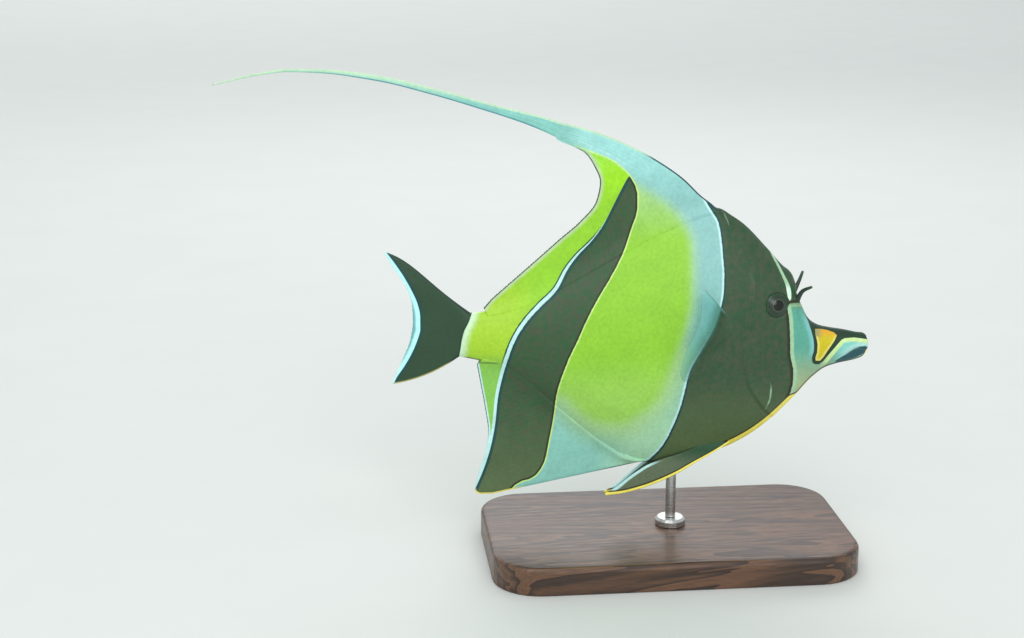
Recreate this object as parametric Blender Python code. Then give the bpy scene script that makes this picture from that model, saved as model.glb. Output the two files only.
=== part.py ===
"""A life-size moorish idol, held swimming on a plain display stand.

The fish faces +X and its right side faces -Y.  Sizes are in millimetres and become
metres where a mesh is made.  The origin is the centre of the base's underside.
The flesh is one loft whose sections change along X.  It is parted along the gill
cover, the mouth and the tail stalk.  Every fin is a sheet with its rays raised in its
own surface, set on the keel or the flank that it grows from.
"""

import math

import bmesh
import bpy
import numpy as np

MM = 0.001
GAP = 0.3  # clearance between touching pieces

# Lengths along the fish, from the mouth to the root of the tail fin.
SNOUT_TIP = 85.6
STALK_END = -93.0
STALK_FRONT = -70.0

# Profile of the flesh, without its fins: height of the back and of the belly at X.
BACK = [
    (-93.0, 108.0), (-84.5, 109.0), (-78.7, 109.4), (-67.8, 111.4), (-55.2, 116.2),
    (-38.4, 125.2), (-21.7, 134.6), (-5.0, 143.2), (9.0, 148.9), (19.3, 150.9),
    (25.8, 147.4), (31.0, 143.4), (41.2, 133.3), (48.2, 125.7), (50.2, 124.2),
    (51.8, 122.2), (52.7, 119.6), (53.5, 115.2), (56.4, 108.6), (58.9, 103.8), (61.4, 101.2), (65.0, 99.4),
    (76.0, 97.2), (81.3, 96.0), (83.2, 95.8), (84.8, 95.0), (85.6, 93.2),
]
BELLY = [
    (-93.0, 91.6), (-88.0, 90.2), (-80.4, 88.4), (-72.0, 85.8), (-63.5, 79.4),
    (-46.4, 64.2), (-29.1, 49.4), (-18.0, 42.6), (-8.0, 41.0), (5.8, 42.4),
    (24.0, 46.2), (32.9, 50.3), (41.6, 56.2), (53.1, 67.0), (62.4, 77.3),
    (67.9, 81.2), (73.5, 82.8), (80.0, 84.0), (83.4, 85.2), (84.9, 86.8), (85.6, 88.6),
]
# Half width of the flesh, and the height at which it is widest.
HALF_WIDTH = [
    (-93.0, 3.0), (-80.0, 4.2), (-68.0, 5.4), (-55.0, 7.3), (-40.0, 9.7), (-25.0, 11.9),
    (-10.0, 13.4), (5.0, 14.2), (20.0, 14.0), (33.0, 12.8), (43.5, 11.0), (50.0, 9.5),
    (56.0, 7.9), (62.0, 6.3), (69.0, 5.1), (76.0, 4.3), (81.0, 3.6), (82.6, 3.7),
    (84.6, 3.3), (85.6, 2.3),
]
WIDEST_AT = [
    (-93.0, 99.6), (-60.0, 97.0), (-30.0, 93.0), (0.0, 94.0), (20.0, 97.0),
    (43.5, 101.0), (56.0, 94.0), (66.0, 91.0), (85.6, 90.8),
]
# How sharply the sides close towards the keels: 1 is round, more is a thin edge.
KEEL_POWER = [(-93.0, 1.15), (-65.0, 1.55), (0.0, 1.75), (25.0, 1.6), (45.0, 1.25), (60.0, 1.0), (85.6, 1.0)]
KEEL_FLAT = [(-93.0, 1.3), (30.0, 1.3), (45.0, 1.0), (60.0, 0.7), (85.6, 0.5)]

# The rear edge of the gill cover, from the nape down to the throat.
GILL_EDGE = [
    (13.5, 172.0), (20.4, 151.0), (28.0, 135.0), (32.6, 120.0), (31.0, 107.0),
    (28.8, 93.0), (31.4, 79.0), (38.6, 67.0), (47.0, 57.0), (54.0, 30.0),
]
GILL_FLAP_LIFT = 0.9
GILL_FLAP_REACH = 7.0
GILL_FLAP_ENDS = (58.0, 124.0)

# Upper edge of the lower jaw, from the mouth back to the chin.
JAW_LINE = [(90.0, 90.4), (80.4, 90.0), (76.4, 88.0), (70.6, 84.9), (66.0, 78.0)]

EYE_CENTRE = (43.6, 111.4)
EYE_RADIUS = 5.6
EYE_DEPTH = 2.6
EYE_SUNK = 1.3

# The middle line of each horn, from inside the brow to its tip.
HORN_RIGHT = [(52.4, -5.4, 110.6), (54.8, -7.3, 116.5), (58.0, -10.5, 119.1)]
HORN_LEFT = [(53.0, 5.6, 109.4), (57.0, 7.6, 117.2), (59.2, 10.0, 121.0)]
HORN_RADIUS = 1.4
HORN_TIP_RADIUS = 0.6

NOSTRILS = ((53.2, 107.0), (54.6, 104.6))
NOSTRIL_RADIUS = 0.8

# Dorsal fin: root on the back, leading edge and trailing edge.
DORSAL_ROOT_FRONT = 18.2
DORSAL_SPINES_END = 3.0
DORSAL_ROOT_REAR = -78.2
DORSAL_EDGE = [
    (-46.3, 188.2), (-48.75, 182.2), (-40.8, 178.2), (-36.6, 175.3), (-33.4, 170.7),
    (-30.6, 163.4), (-32.0, 155.6), (-38.6, 147.0), (-47.3, 139.4), (-54.8, 132.8),
    (-62.3, 126.4), (-70.7, 119.3), (-75.8, 114.8), (-78.9, 111.2),
]
DORSAL_SPINE_SHARE = 0.13
DORSAL_SPLIT = 0.47
DORSAL_BULGE = 5.4

# The streamer: middle line, and half its height, from the fin to its tip.
STREAMER = [
    (-48.0, 185.3, 3.15), (-55.0, 188.2, 2.7), (-62.5, 190.7, 2.2), (-74.7, 194.4, 1.7),
    (-98.3, 201.5, 1.35), (-121.8, 207.4, 1.15), (-145.3, 210.4, 0.8),
    (-156.8, 210.7, 0.65), (-168.4, 209.3, 0.5), (-187.0, 205.2, 0.3),
]
STREAMER_SWAY = 4.0
STREAMER_CUTS = (0.0, 0.34, 0.67, 1.0)

# Anal fin.
ANAL_ROOT_FRONT = -12.0
ANAL_ROOT_REAR = -80.6
ANAL_EDGE = [
    (-75.5, 28.8), (-80.5, 28.9), (-82.9, 30.6), (-81.4, 37.9), (-78.6, 47.4),
    (-77.2, 57.0), (-78.4, 67.0), (-80.2, 77.5), (-81.8, 86.6),
]
ANAL_TIP_SHARE = 0.14

# Tail fin: root line across the end of the tail stalk, and the trailing edge.
TAIL_ROOT_TOP = (-84.2, 109.2)
TAIL_ROOT_LOW = (-88.8, 90.4)
TAIL_EDGE = [
    (-119.7, 135.7), (-116.5, 129.7), (-112.8, 124.2), (-110.2, 118.9), (-108.7, 113.4),
    (-108.4, 106.5), (-109.5, 98.8), (-113.0, 89.4), (-117.5, 78.8),
]
TAIL_TOP_BULGE = 1.8
TAIL_LOW_BULGE = -1.9

# Paired fins, given for the left side (+Y) and mirrored.
PECTORAL_ROOT = (24.5, 11.4, 101.0)
PECTORAL_ROOT_HEIGHT = 7.0
PECTORAL_SWING = 38.0
PECTORAL_FAN = (42.0, -31.0)
PECTORAL_RAYS = [(0.0, 25.8), (0.12, 23.9), (0.3, 21.3), (0.5, 22.7), (0.75, 27.4), (0.9, 29.5), (1.0, 28.3)]
PELVIC_SPINE = [
    (27.0, 50.0), (20.0, 45.7), (12.0, 41.1), (5.0, 36.9), (-2.8, 32.9), (-10.6, 29.8),
    (-19.3, 27.5), (-26.7, 26.7),
]
PELVIC_REAR = [
    (15.0, 50.0), (9.0, 47.0), (3.0, 44.8), (-3.0, 43.0), (-8.6, 40.6), (-13.4, 37.4),
    (-17.6, 34.1), (-21.5, 30.7), (-26.8, 27.6),
]
PELVIC_OUT = [(0.0, 3.5), (0.12, 3.9), (0.4, 3.8), (0.6, 2.8), (0.8, 1.8), (1.0, 1.3)]
PELVIC_SPREAD = 0.3

BASE_LENGTH = 156.0
BASE_DEPTH = 92.0
BASE_HEIGHT = 12.0
BASE_CORNER = 20.0
BASE_BEVEL = 2.0
ROD_X = 2.0
ROD_RADIUS = 2.2
COLLAR_RADIUS = 6.5
COLLAR_HEIGHT = 3.5


def smooth(points):
    """A curve through (x, value) points that doesn't overshoot between them."""
    points = np.array(points, float)
    xs, ys = points[np.argsort(points[:, 0])].T
    step = np.diff(xs)
    rise = np.diff(ys) / step
    slope = np.zeros_like(xs)
    same_way = rise[:-1] * rise[1:] > 0
    mean = 2 * rise[:-1] * rise[1:] / np.where(same_way, rise[:-1] + rise[1:], 1)
    slope[1:-1] = np.where(same_way, mean, 0)
    slope[0], slope[-1] = rise[0], rise[-1]

    def value(x):
        x = np.clip(x, xs[0], xs[-1])
        i = np.clip(np.searchsorted(xs, x) - 1, 0, len(xs) - 2)
        t = (x - xs[i]) / step[i]
        return (
            ys[i] * (1 + 2 * t) * (1 - t) ** 2
            + slope[i] * step[i] * t * (1 - t) ** 2
            + ys[i + 1] * t * t * (3 - 2 * t)
            + slope[i + 1] * step[i] * t * t * (t - 1)
        )

    return value


def share_at(points, index):
    """Share of a path's length that lies before one of its points."""
    steps = np.linalg.norm(np.diff(np.array(points, float), axis=0), axis=1)
    return steps[:index].sum() / steps.sum()


def along(points):
    """A smooth path through points, taken by the share of its length from 0 to 1."""
    points = np.array(points, float)
    reach = np.append(0, np.cumsum(np.linalg.norm(np.diff(points, axis=0), axis=1)))
    reach /= reach[-1]
    axes = [smooth(np.column_stack([reach, axis])) for axis in points.T]
    return lambda share: np.stack([axis(share) for axis in axes], -1)


back, belly = smooth(BACK), smooth(BELLY)
half_width, widest_at = smooth(HALF_WIDTH), smooth(WIDEST_AT)
keel_power, keel_flat = smooth(KEEL_POWER), smooth(KEEL_FLAT)


def flank(x, z):
    """Half width of the flesh at a place on its side."""
    middle = widest_at(x)
    reach = np.where(z > middle, back(x) - middle, middle - belly(x))
    share = np.clip(np.abs(z - middle) / reach, 0, 1)
    flat = keel_flat(x)
    return flat + (half_width(x) - flat) * (1 - share**2) ** (keel_power(x) / 2)


def gill_lift(x, z):
    """How far the gill cover stands off the flank near its rear edge."""
    edge_x, edge_z = gill_line().T
    edge = np.interp(z, edge_z[::-1], edge_x[::-1])
    ahead = np.clip((x - edge) / GILL_FLAP_REACH, 0, 1)
    low, high = GILL_FLAP_ENDS
    ends = np.clip((z - low) / 8, 0, 1) * np.clip((high - z) / 8, 0, 1)
    return GILL_FLAP_LIFT * (1 - ahead) ** 2 * ends


def gill_line():
    """The gill cover's rear edge as an even run of points, from the nape down."""
    return along(GILL_EDGE)(np.linspace(0, 1, 23))


def flesh_rings(stations, sides, pad=0.0, lift=None):
    """Closed sections of the flesh, one at each station, from the belly up and round."""
    turn = np.linspace(-math.pi / 2, math.pi / 2, sides)
    rings = []
    for x in stations:
        middle = widest_at(x)
        up = np.sin(turn)
        reach = np.where(up > 0, back(x) - middle + pad, middle - belly(x) + pad)
        z = middle + reach * up
        flat = keel_flat(x)
        y = flat + (half_width(x) - flat) * np.cos(turn) ** keel_power(x) + pad
        if lift is not None:
            y = y + lift(x, z)
        right = np.column_stack([np.full(sides, x), -y, z])
        left = np.column_stack([np.full(sides, x), y, z])[::-1]
        rings.append(np.vstack([right, left]))
    return np.array(rings)


def new_object(name, vertices, faces):
    """A mesh object from millimetres."""
    mesh = bpy.data.meshes.new(name)
    mesh.from_pydata((np.array(vertices, float) * MM).tolist(), [], faces)
    mesh.update()
    obj = bpy.data.objects.new(name, mesh)
    bpy.context.scene.collection.objects.link(obj)
    return obj


def loft(name, rings):
    """A closed solid through equal rings, with flat ends."""
    count, sides = rings.shape[:2]
    faces = []
    for i in range(count - 1):
        for j in range(sides):
            k = (j + 1) % sides
            faces.append((i * sides + j, i * sides + k, (i + 1) * sides + k, (i + 1) * sides + j))
    faces.append(tuple(range(sides))[::-1])
    faces.append(tuple((count - 1) * sides + j for j in range(sides)))
    obj = new_object(name, rings.reshape(-1, 3), faces)
    face_outwards(obj)
    return obj


def sheet(name, middle, half, outward):
    """A thin solid on a grid of points: both faces are split alike, with closed rims."""
    rows, columns = middle.shape[:2]
    shift = outward * half[..., None]
    vertices = np.concatenate([(middle - shift).reshape(-1, 3), (middle + shift).reshape(-1, 3)])
    other = rows * columns
    faces = []
    for i in range(rows - 1):
        for j in range(columns - 1):
            a, b = i * columns + j, i * columns + j + 1
            c, d = a + columns, b + columns
            faces += [(a, b, d), (a, d, c)]
            faces += [(other + a, other + d, other + b), (other + a, other + c, other + d)]
    rim = [(i, 0) for i in range(rows - 1)]
    rim += [(rows - 1, j) for j in range(columns - 1)]
    rim += [(i, columns - 1) for i in range(rows - 1, 0, -1)]
    rim += [(0, j) for j in range(columns - 1, 0, -1)]
    rim = [i * columns + j for i, j in rim]
    for a, b in zip(rim, rim[1:] + rim[:1]):
        faces += [(a, b, other + b), (a, other + b, other + a)]
    obj = new_object(name, vertices, faces)
    face_outwards(obj)
    return obj


def face_outwards(obj):
    """Turns every face of a closed mesh outwards."""
    work = bmesh.new()
    work.from_mesh(obj.data)
    bmesh.ops.recalc_face_normals(work, faces=work.faces)
    if work.calc_volume(signed=True) < 0:
        bmesh.ops.reverse_faces(work, faces=work.faces)
    work.to_mesh(obj.data)
    work.free()


def prism(name, outline):
    """A block across the whole fish whose side view is the outline."""
    reach = 60.0
    count = len(outline)
    near = [(x, -reach, z) for x, z in outline]
    far = [(x, reach, z) for x, z in outline]
    faces = [tuple(range(count)), tuple(range(count, 2 * count))[::-1]]
    for i in range(count):
        k = (i + 1) % count
        faces.append((i, k, count + k, count + i))
    obj = new_object(name, near + far, faces)
    face_outwards(obj)
    return obj


def combine(obj, tools, operation):
    """Cuts, joins or crosses obj with the tools, keeps its largest closed surface and drops the tools."""
    group = bpy.data.collections.new("tools")
    bpy.context.scene.collection.children.link(group)
    for tool in tools:
        bpy.context.scene.collection.objects.unlink(tool)
        group.objects.link(tool)
    change = obj.modifiers.new("change", "BOOLEAN")
    change.operation = operation
    change.solver = "EXACT"
    change.operand_type = "COLLECTION"
    change.collection = group
    bpy.context.view_layer.update()
    evaluated = obj.evaluated_get(bpy.context.evaluated_depsgraph_get())
    mesh = bpy.data.meshes.new_from_object(evaluated)
    obj.modifiers.clear()
    obj.data = mesh
    for tool in tools:
        bpy.data.objects.remove(tool)
    bpy.data.collections.remove(group)
    keep_largest(obj)


def keep_largest(obj):
    """Drops every closed surface of a mesh but its largest."""
    work = bmesh.new()
    work.from_mesh(obj.data)
    left, islands = set(work.faces), []
    while left:
        island, edge = set(), [left.pop()]
        while edge:
            face = edge.pop()
            island.add(face)
            linked = {f for e in face.edges for f in e.link_faces} & left
            left -= linked
            edge += linked
        islands.append(island)
    islands.sort(key=lambda island: sum(face.calc_area() for face in island))
    for island in islands[:-1]:
        bmesh.ops.delete(work, geom=list(island), context="FACES")
    work.to_mesh(obj.data)
    work.free()


def moved(outline, x=0.0, z=0.0):
    return [(px + x, pz + z) for px, pz in outline]


def body_stations():
    """Close where the face is steep, wide apart along the flank."""
    tail = np.arange(STALK_END, -60, 3.0)
    side = np.arange(-60, 24, 4.2)
    head = np.arange(24, 48, 2.2)
    brow = np.arange(48, 57, 0.9)
    face = np.arange(57, 62, 1.3)
    snout = np.arange(62, 82, 2.5)
    lips = [82.0, 83.2, 84.2, 85.0, SNOUT_TIP]
    return np.concatenate([tail, side, head, brow, face, snout, lips])


STATIONS = body_stations()
SIDES = 15
HEAD_SIDES = 16


def body_cutter():
    """The flesh with the clearance round it, which trims what grows from it."""
    return loft("cutter", flesh_rings(STATIONS, SIDES, pad=GAP, lift=gill_lift))


def surface_normal(x, z, side):
    """Outward direction of the flank at a place on its side."""
    step = 0.5
    slope_x = (flank(x + step, z) - flank(x - step, z)) / (2 * step)
    slope_z = (flank(x, z + step) - flank(x, z - step)) / (2 * step)
    normal = np.array([-slope_x, side, -slope_z])
    return normal / np.linalg.norm(normal)


def globe(name, centre, radii, normal, across=18, rings=8):
    """An ellipsoid whose poles lie along the normal."""
    axis = np.array(normal, float)
    first = np.cross(axis, (0, 0, 1))
    first /= np.linalg.norm(first)
    second = np.cross(axis, first)
    vertices = [np.array(centre) + axis * radii[1]]
    for i in range(1, rings):
        polar = math.pi * i / rings
        for j in range(across):
            turn = 2 * math.pi * j / across
            spread = first * math.cos(turn) + second * math.sin(turn)
            vertices.append(
                np.array(centre) + axis * radii[1] * math.cos(polar) + spread * radii[0] * math.sin(polar)
            )
    vertices.append(np.array(centre) - axis * radii[1])
    faces = []
    for j in range(across):
        k = (j + 1) % across
        faces.append((0, 1 + j, 1 + k))
        for i in range(rings - 2):
            low = 1 + i * across
            faces.append((low + j, low + across + j, low + across + k, low + k))
        last = 1 + (rings - 2) * across
        faces.append((last + j, len(vertices) - 1, last + k))
    obj = new_object(name, vertices, faces)
    face_outwards(obj)
    return obj


def tube(name, path, radii, sides=8):
    """A closed round solid along a path whose radius changes."""
    path = np.array(path, float)
    rings = []
    for i, (point, radius) in enumerate(zip(path, radii)):
        ahead = path[min(i + 1, len(path) - 1)] - path[max(i - 1, 0)]
        ahead /= np.linalg.norm(ahead)
        first = np.cross(ahead, (0.0, 1.0, 0.0))
        first /= np.linalg.norm(first)
        second = np.cross(ahead, first)
        turn = 2 * math.pi * np.arange(sides) / sides
        rings.append(point + radius * (np.outer(np.cos(turn), first) + np.outer(np.sin(turn), second)))
    return loft(name, np.array(rings))


def ring(name, centre, radius, thickness, normal, around=22, sides=5):
    """A round welt about the normal, such as the rim of an eye socket."""
    axis = np.array(normal, float)
    first = np.cross(axis, (0, 0, 1))
    first /= np.linalg.norm(first)
    second = np.cross(axis, first)
    vertices, faces = [], []
    for i in range(around):
        turn = 2 * math.pi * i / around
        out = first * math.cos(turn) + second * math.sin(turn)
        for j in range(sides):
            roll = 2 * math.pi * j / sides
            vertices.append(
                np.array(centre) + out * (radius + thickness * math.cos(roll)) + axis * thickness * math.sin(roll)
            )
            a, b = i * sides + j, i * sides + (j + 1) % sides
            ahead = ((i + 1) % around) * sides
            faces.append((a, b, ahead + (j + 1) % sides, ahead + j))
    obj = new_object(name, vertices, faces)
    face_outwards(obj)
    return obj


def eye_place(side, sunk):
    """Centre and direction of an eye that lies this far under the skin."""
    x, z = EYE_CENTRE
    normal = surface_normal(x, z, side)
    surface = np.array([x, side * flank(x, z), z])
    return surface - normal * sunk, normal


def make_head():
    """Head and snout, with gill covers, eye sockets and rims, nostrils and mouth."""
    head = loft("head", flesh_rings(STATIONS[STATIONS > 12], HEAD_SIDES, lift=gill_lift))
    front = prism("front", gill_line().tolist() + [(100, 46), (100, 172)])
    combine(head, [front], "INTERSECT")
    rims = []
    for side in (-1, 1):
        centre, normal = eye_place(side, 0.25)
        rims.append(ring("rim", centre, EYE_RADIUS + 0.5, 0.9, normal))
    combine(head, rims, "UNION")
    cutters = [prism("jaw_room", moved(JAW_LINE, -0.15, GAP) + [(60, 70), (95, 70)])]
    for side in (-1, 1):
        centre, normal = eye_place(side, EYE_SUNK)
        cutters.append(globe("socket", centre, (EYE_RADIUS + GAP, EYE_DEPTH + GAP), normal))
        for x, z in NOSTRILS:
            place = (x, side * flank(x, z), z)
            cutters.append(globe("pit", place, (NOSTRIL_RADIUS, 1.1), surface_normal(x, z, side), 8, 4))
    combine(head, cutters, "DIFFERENCE")
    return head


def make_lower_jaw():
    jaw = loft("lower_jaw", flesh_rings(STATIONS[STATIONS > 60], HEAD_SIDES))
    combine(jaw, [prism("under", JAW_LINE + [(60, 60), (95, 60)])], "INTERSECT")
    return jaw


def make_torso():
    torso = loft("torso", flesh_rings(STATIONS, SIDES))
    room = moved(gill_line(), -GAP * 1.1) + [(STALK_FRONT, 46.0), (STALK_FRONT, 172.0)]
    combine(torso, [prism("middle", room)], "INTERSECT")
    return torso


def make_tail_stalk():
    stalk = loft("tail_stalk", flesh_rings(STATIONS[STATIONS < -55], SIDES))
    front = STALK_FRONT - GAP
    top, low = TAIL_ROOT_TOP, TAIL_ROOT_LOW
    slant = (top[0] - low[0]) / (top[1] - low[1])
    room = [
        (front, 60.0), (low[0] - slant * (low[1] - 60.0), 60.0),
        (top[0] + slant * (140.0 - top[1]), 140.0), (front, 140.0),
    ]
    combine(stalk, [prism("rear", room)], "INTERSECT")
    return stalk


def ribbed(thick, columns, depth=0.38):
    """Thins every second column of a sheet, so that the rays stand proud of the membrane."""
    membrane = np.arange(columns) % 2 == 1
    return thick * np.where(membrane, 1 - depth, 1.0)[None, :]


def fan(root, edge, bulge, shares, rows, late=None):
    """Grid of side-view points from a root to an edge, each ray bent halfway out, or later."""
    grid = []
    for u in np.linspace(0, 1, rows):
        line = []
        for v in shares:
            start, end = root(v), edge(v)
            ray = end - start
            normal = np.array([-ray[1], ray[0]]) / np.linalg.norm(ray)
            bend = bulge(v) * 4 * u * (1 - u)
            if late is not None:
                bend += late(v) * 9.48 * u**3 * (1 - u)
            line.append(start + ray * u - normal * bend)
        grid.append(line)
    return np.array(grid)


def upright(grid):
    """Side-view points set on the middle plane of the fish."""
    return np.stack([grid[..., 0], np.zeros(grid.shape[:2]), grid[..., 1]], -1)


SIDEWAYS = np.array([0.0, 1.0, 0.0])


def dorsal_root(v):
    share = DORSAL_SPINE_SHARE
    x = np.interp(v, [0, share, 1], [DORSAL_ROOT_FRONT, DORSAL_SPINES_END, DORSAL_ROOT_REAR])
    return np.array([x, back(x) + GAP + 0.1])


def dorsal_edge(v):
    corner = share_at(DORSAL_EDGE, 1)
    return along(DORSAL_EDGE)(np.interp(v, [0, DORSAL_SPINE_SHARE, 1], [0, corner, 1]))


def dorsal_bulge(v):
    return DORSAL_BULGE * max(0.0, 1 - v / 0.62) ** 1.3


def make_dorsal_fin(name, first, last, rays):
    """Dorsal fin between two of its rays."""
    columns = 2 * rays + 1
    shares = np.linspace(first, last, columns)
    rows = 7
    grid = fan(dorsal_root, dorsal_edge, dorsal_bulge, shares, rows)
    thick = np.linspace(1.0, 0.46, rows)[:, None] * np.ones(columns)
    return sheet(name, upright(grid), ribbed(thick, columns), SIDEWAYS)


def make_streamer(name, first, last):
    """One length of the streamer, an oval ribbon that narrows to a thread."""
    points = np.array(STREAMER)
    line = along(points[:, :2])
    reach = np.append(0, np.cumsum(np.linalg.norm(np.diff(points[:, :2], axis=0), axis=1)))
    height = smooth(np.column_stack([reach / reach[-1], points[:, 2]]))
    rings = []
    turn = 2 * math.pi * np.arange(8) / 8
    for s in np.linspace(first, last, 12):
        x, z = line(s)
        ahead = line(min(s + 0.01, 1)) - line(max(s - 0.01, 0))
        ahead /= np.linalg.norm(ahead)
        up = np.array([ahead[1], 0, -ahead[0]])
        thick = 0.75 - 0.45 * s
        centre = np.array([x, STREAMER_SWAY * s * s, z])
        rings.append(
            centre + height(s) * np.outer(np.cos(turn), up) + thick * np.outer(np.sin(turn), SIDEWAYS)
        )
    return loft(name, np.array(rings))


def anal_root(v):
    x = ANAL_ROOT_FRONT + (ANAL_ROOT_REAR - ANAL_ROOT_FRONT) * v
    return np.array([x, belly(x) - GAP - 0.1])


def anal_edge(v):
    corner = share_at(ANAL_EDGE, 2)
    return along(ANAL_EDGE)(np.interp(v, [0, ANAL_TIP_SHARE, 1], [0, corner, 1]))


def make_anal_fin():
    rays, rows = 21, 6
    columns = 2 * rays + 1
    grid = fan(anal_root, anal_edge, lambda v: 1.6 * v * (1 - v), np.linspace(0, 1, columns), rows)
    thick = np.linspace(1.0, 0.46, rows)[:, None] * np.ones(columns)
    return sheet("anal_fin", upright(grid), ribbed(thick, columns), SIDEWAYS)


def tail_root(v):
    top, low = np.array(TAIL_ROOT_TOP), np.array(TAIL_ROOT_LOW)
    return top + (low - top) * v - np.array([GAP, 0])


def tail_bulge(v):
    return np.interp(v, [0.6, 1], [0, TAIL_LOW_BULGE])


def tail_late_bulge(v):
    return np.interp(v, [0, 0.3], [TAIL_TOP_BULGE, 0])


def make_tail_lobe(name, first, last):
    """One lobe of the tail fin, thick at the stalk and thin along its rays."""
    rays, rows = 8, 7
    columns = 2 * rays + 1
    shares = np.linspace(first, last, columns)
    grid = fan(tail_root, along(TAIL_EDGE), tail_bulge, shares, rows, tail_late_bulge)
    fleshy = 0.9 + 2.3 * np.sqrt(np.clip(1 - (2 * shares - 1) ** 2, 0, 1))
    out = np.linspace(0, 1, rows)[:, None]
    rib = np.where(np.arange(columns) % 2 == 1, 0.62, 1.0)[None, :]
    fin = (0.95 - 0.45 * out) * (rib * (out > 0) + (out == 0))
    root_share = np.clip(1 - out / 0.34, 0, 1) ** 2
    return sheet(name, upright(grid), fin + (fleshy[None, :] - 0.9) * root_share, SIDEWAYS)


def make_pectoral(name, side):
    """A spread breast fin: rays fan out from a short fleshy root on the flank."""
    swing = math.radians(PECTORAL_SWING)
    back_and_out = np.array([-math.cos(swing), side * math.sin(swing), 0.0])
    upwards = np.array([0.12, 0.0, 1.0])
    upwards /= np.linalg.norm(upwards)
    outward = np.cross(back_and_out, upwards)
    rays, rows = 12, 7
    columns = 2 * rays + 1
    x, y, z = PECTORAL_ROOT
    root = np.array([x, side * y, z])
    ray_length = smooth(PECTORAL_RAYS)
    grid = np.zeros((rows, columns, 3))
    for j, v in enumerate(np.linspace(0, 1, columns)):
        angle = math.radians(np.interp(v, [0, 1], PECTORAL_FAN))
        start = root + upwards * PECTORAL_ROOT_HEIGHT * (0.5 - v)
        length = ray_length(v)
        ray = back_and_out * math.cos(angle) + upwards * math.sin(angle)
        for i, u in enumerate(np.linspace(0, 1, rows)):
            cup = outward * 2.2 * side * u * u
            grid[i, j] = start + ray * length * u - cup
    thick = np.interp(np.linspace(0, 1, rows), [0, 0.2, 1], [1.3, 0.7, 0.42])[:, None] * np.ones(columns)
    fin = sheet(name, grid, ribbed(thick, columns, 0.36), outward)
    combine(fin, [body_cutter()], "DIFFERENCE")
    return fin


def make_pelvic(name, side):
    """A long pointed belly fin, its spine along the lower edge."""
    low, high, out = along(PELVIC_SPINE), along(PELVIC_REAR), smooth(PELVIC_OUT)
    rays, rows = 5, 11
    columns = 2 * rays + 1
    grid = np.zeros((rows, columns, 3))
    for i, u in enumerate(np.linspace(0, 1, rows)):
        for j, v in enumerate(np.linspace(0, 1, columns)):
            x, z = low(u) * (1 - v) + high(u) * v
            grid[i, j] = (x, side * (out(u) + PELVIC_SPREAD * (1 - v) * u), z)
    thick = np.linspace(0.85, 0.4, rows)[:, None] * np.ones(columns)
    fin = sheet(name, grid, ribbed(thick, columns, 0.34), SIDEWAYS)
    combine(fin, [body_cutter()], "DIFFERENCE")
    return fin


def make_eye(name, side):
    centre, normal = eye_place(side, EYE_SUNK)
    return globe(name, centre, (EYE_RADIUS, EYE_DEPTH), normal)


def make_horn(name, path):
    """A short curved horn over the front of the eye."""
    shares = np.linspace(0, 1, 6)
    radii = HORN_RADIUS + (HORN_TIP_RADIUS - HORN_RADIUS) * shares**0.8
    horn = tube(name, along(path)(shares), radii)
    combine(horn, [body_cutter()], "DIFFERENCE")
    return horn


def make_base():
    """A flat base with round corners and an eased top edge."""
    outline = []
    for corner in range(4):
        cx = (BASE_LENGTH / 2 - BASE_CORNER) * (1 if corner in (0, 3) else -1)
        cy = (BASE_DEPTH / 2 - BASE_CORNER) * (1 if corner in (0, 1) else -1)
        for step in range(9):
            turn = math.pi / 2 * (corner + step / 8)
            outline.append((cx, cy, math.cos(turn), math.sin(turn)))
    levels = [(0.0, -0.6), (0.6, 0.0), (BASE_HEIGHT - BASE_BEVEL, 0.0)]
    for step in range(1, 4):
        turn = math.pi / 2 * step / 3
        levels.append((BASE_HEIGHT - BASE_BEVEL * (1 - math.sin(turn)), -BASE_BEVEL * (1 - math.cos(turn))))
    rings = []
    for height, inset in levels:
        radius = BASE_CORNER + inset
        rings.append([(cx + radius * c, cy + radius * s, height) for cx, cy, c, s in outline])
    return loft("stand_base", np.array(rings))


def upright_round(name, levels, sides=20):
    """A turned upright piece at the rod's place, from (height, radius) pairs."""
    turn = 2 * math.pi * np.arange(sides) / sides
    rings = [
        np.column_stack([ROD_X + radius * np.cos(turn), radius * np.sin(turn), np.full(sides, height)])
        for height, radius in levels
    ]
    return loft(name, np.array(rings))


def make_rod():
    """The rod, from the collar up to the belly that it carries."""
    foot = BASE_HEIGHT + COLLAR_HEIGHT + GAP
    top = float(belly(ROD_X)) + 3.0
    rod = upright_round("stand_rod", [(foot, ROD_RADIUS), (top, ROD_RADIUS)])
    combine(rod, [body_cutter()], "DIFFERENCE")
    return rod


def make_collar():
    low = BASE_HEIGHT + GAP
    high = BASE_HEIGHT + COLLAR_HEIGHT
    return upright_round(
        "stand_collar", [(low, COLLAR_RADIUS), (high - 1.0, COLLAR_RADIUS), (high, COLLAR_RADIUS - 1.0)], 24
    )


def finish(obj, colour, roughness, metallic=0.0):
    """Gives a piece its own material and smooth shading."""
    material = bpy.data.materials.new(obj.name)
    material.use_nodes = True
    shader = material.node_tree.nodes["Principled BSDF"]
    shader.inputs["Base Color"].default_value = (*colour, 1.0)
    shader.inputs["Roughness"].default_value = roughness
    shader.inputs["Metallic"].default_value = metallic
    obj.data.materials.clear()
    obj.data.materials.append(material)
    obj.data.shade_smooth()
    obj.data.set_sharp_from_angle(angle=math.radians(40))


BLACK = (0.04, 0.07, 0.045)
YELLOW = (0.33, 0.62, 0.06)
PALE = (0.33, 0.56, 0.55)
ORANGE = (0.72, 0.42, 0.03)
WOOD = (0.07, 0.045, 0.03)
STEEL = (0.62, 0.62, 0.6)


def clear_scene():
    for obj in list(bpy.data.objects):
        bpy.data.objects.remove(obj)


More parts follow.
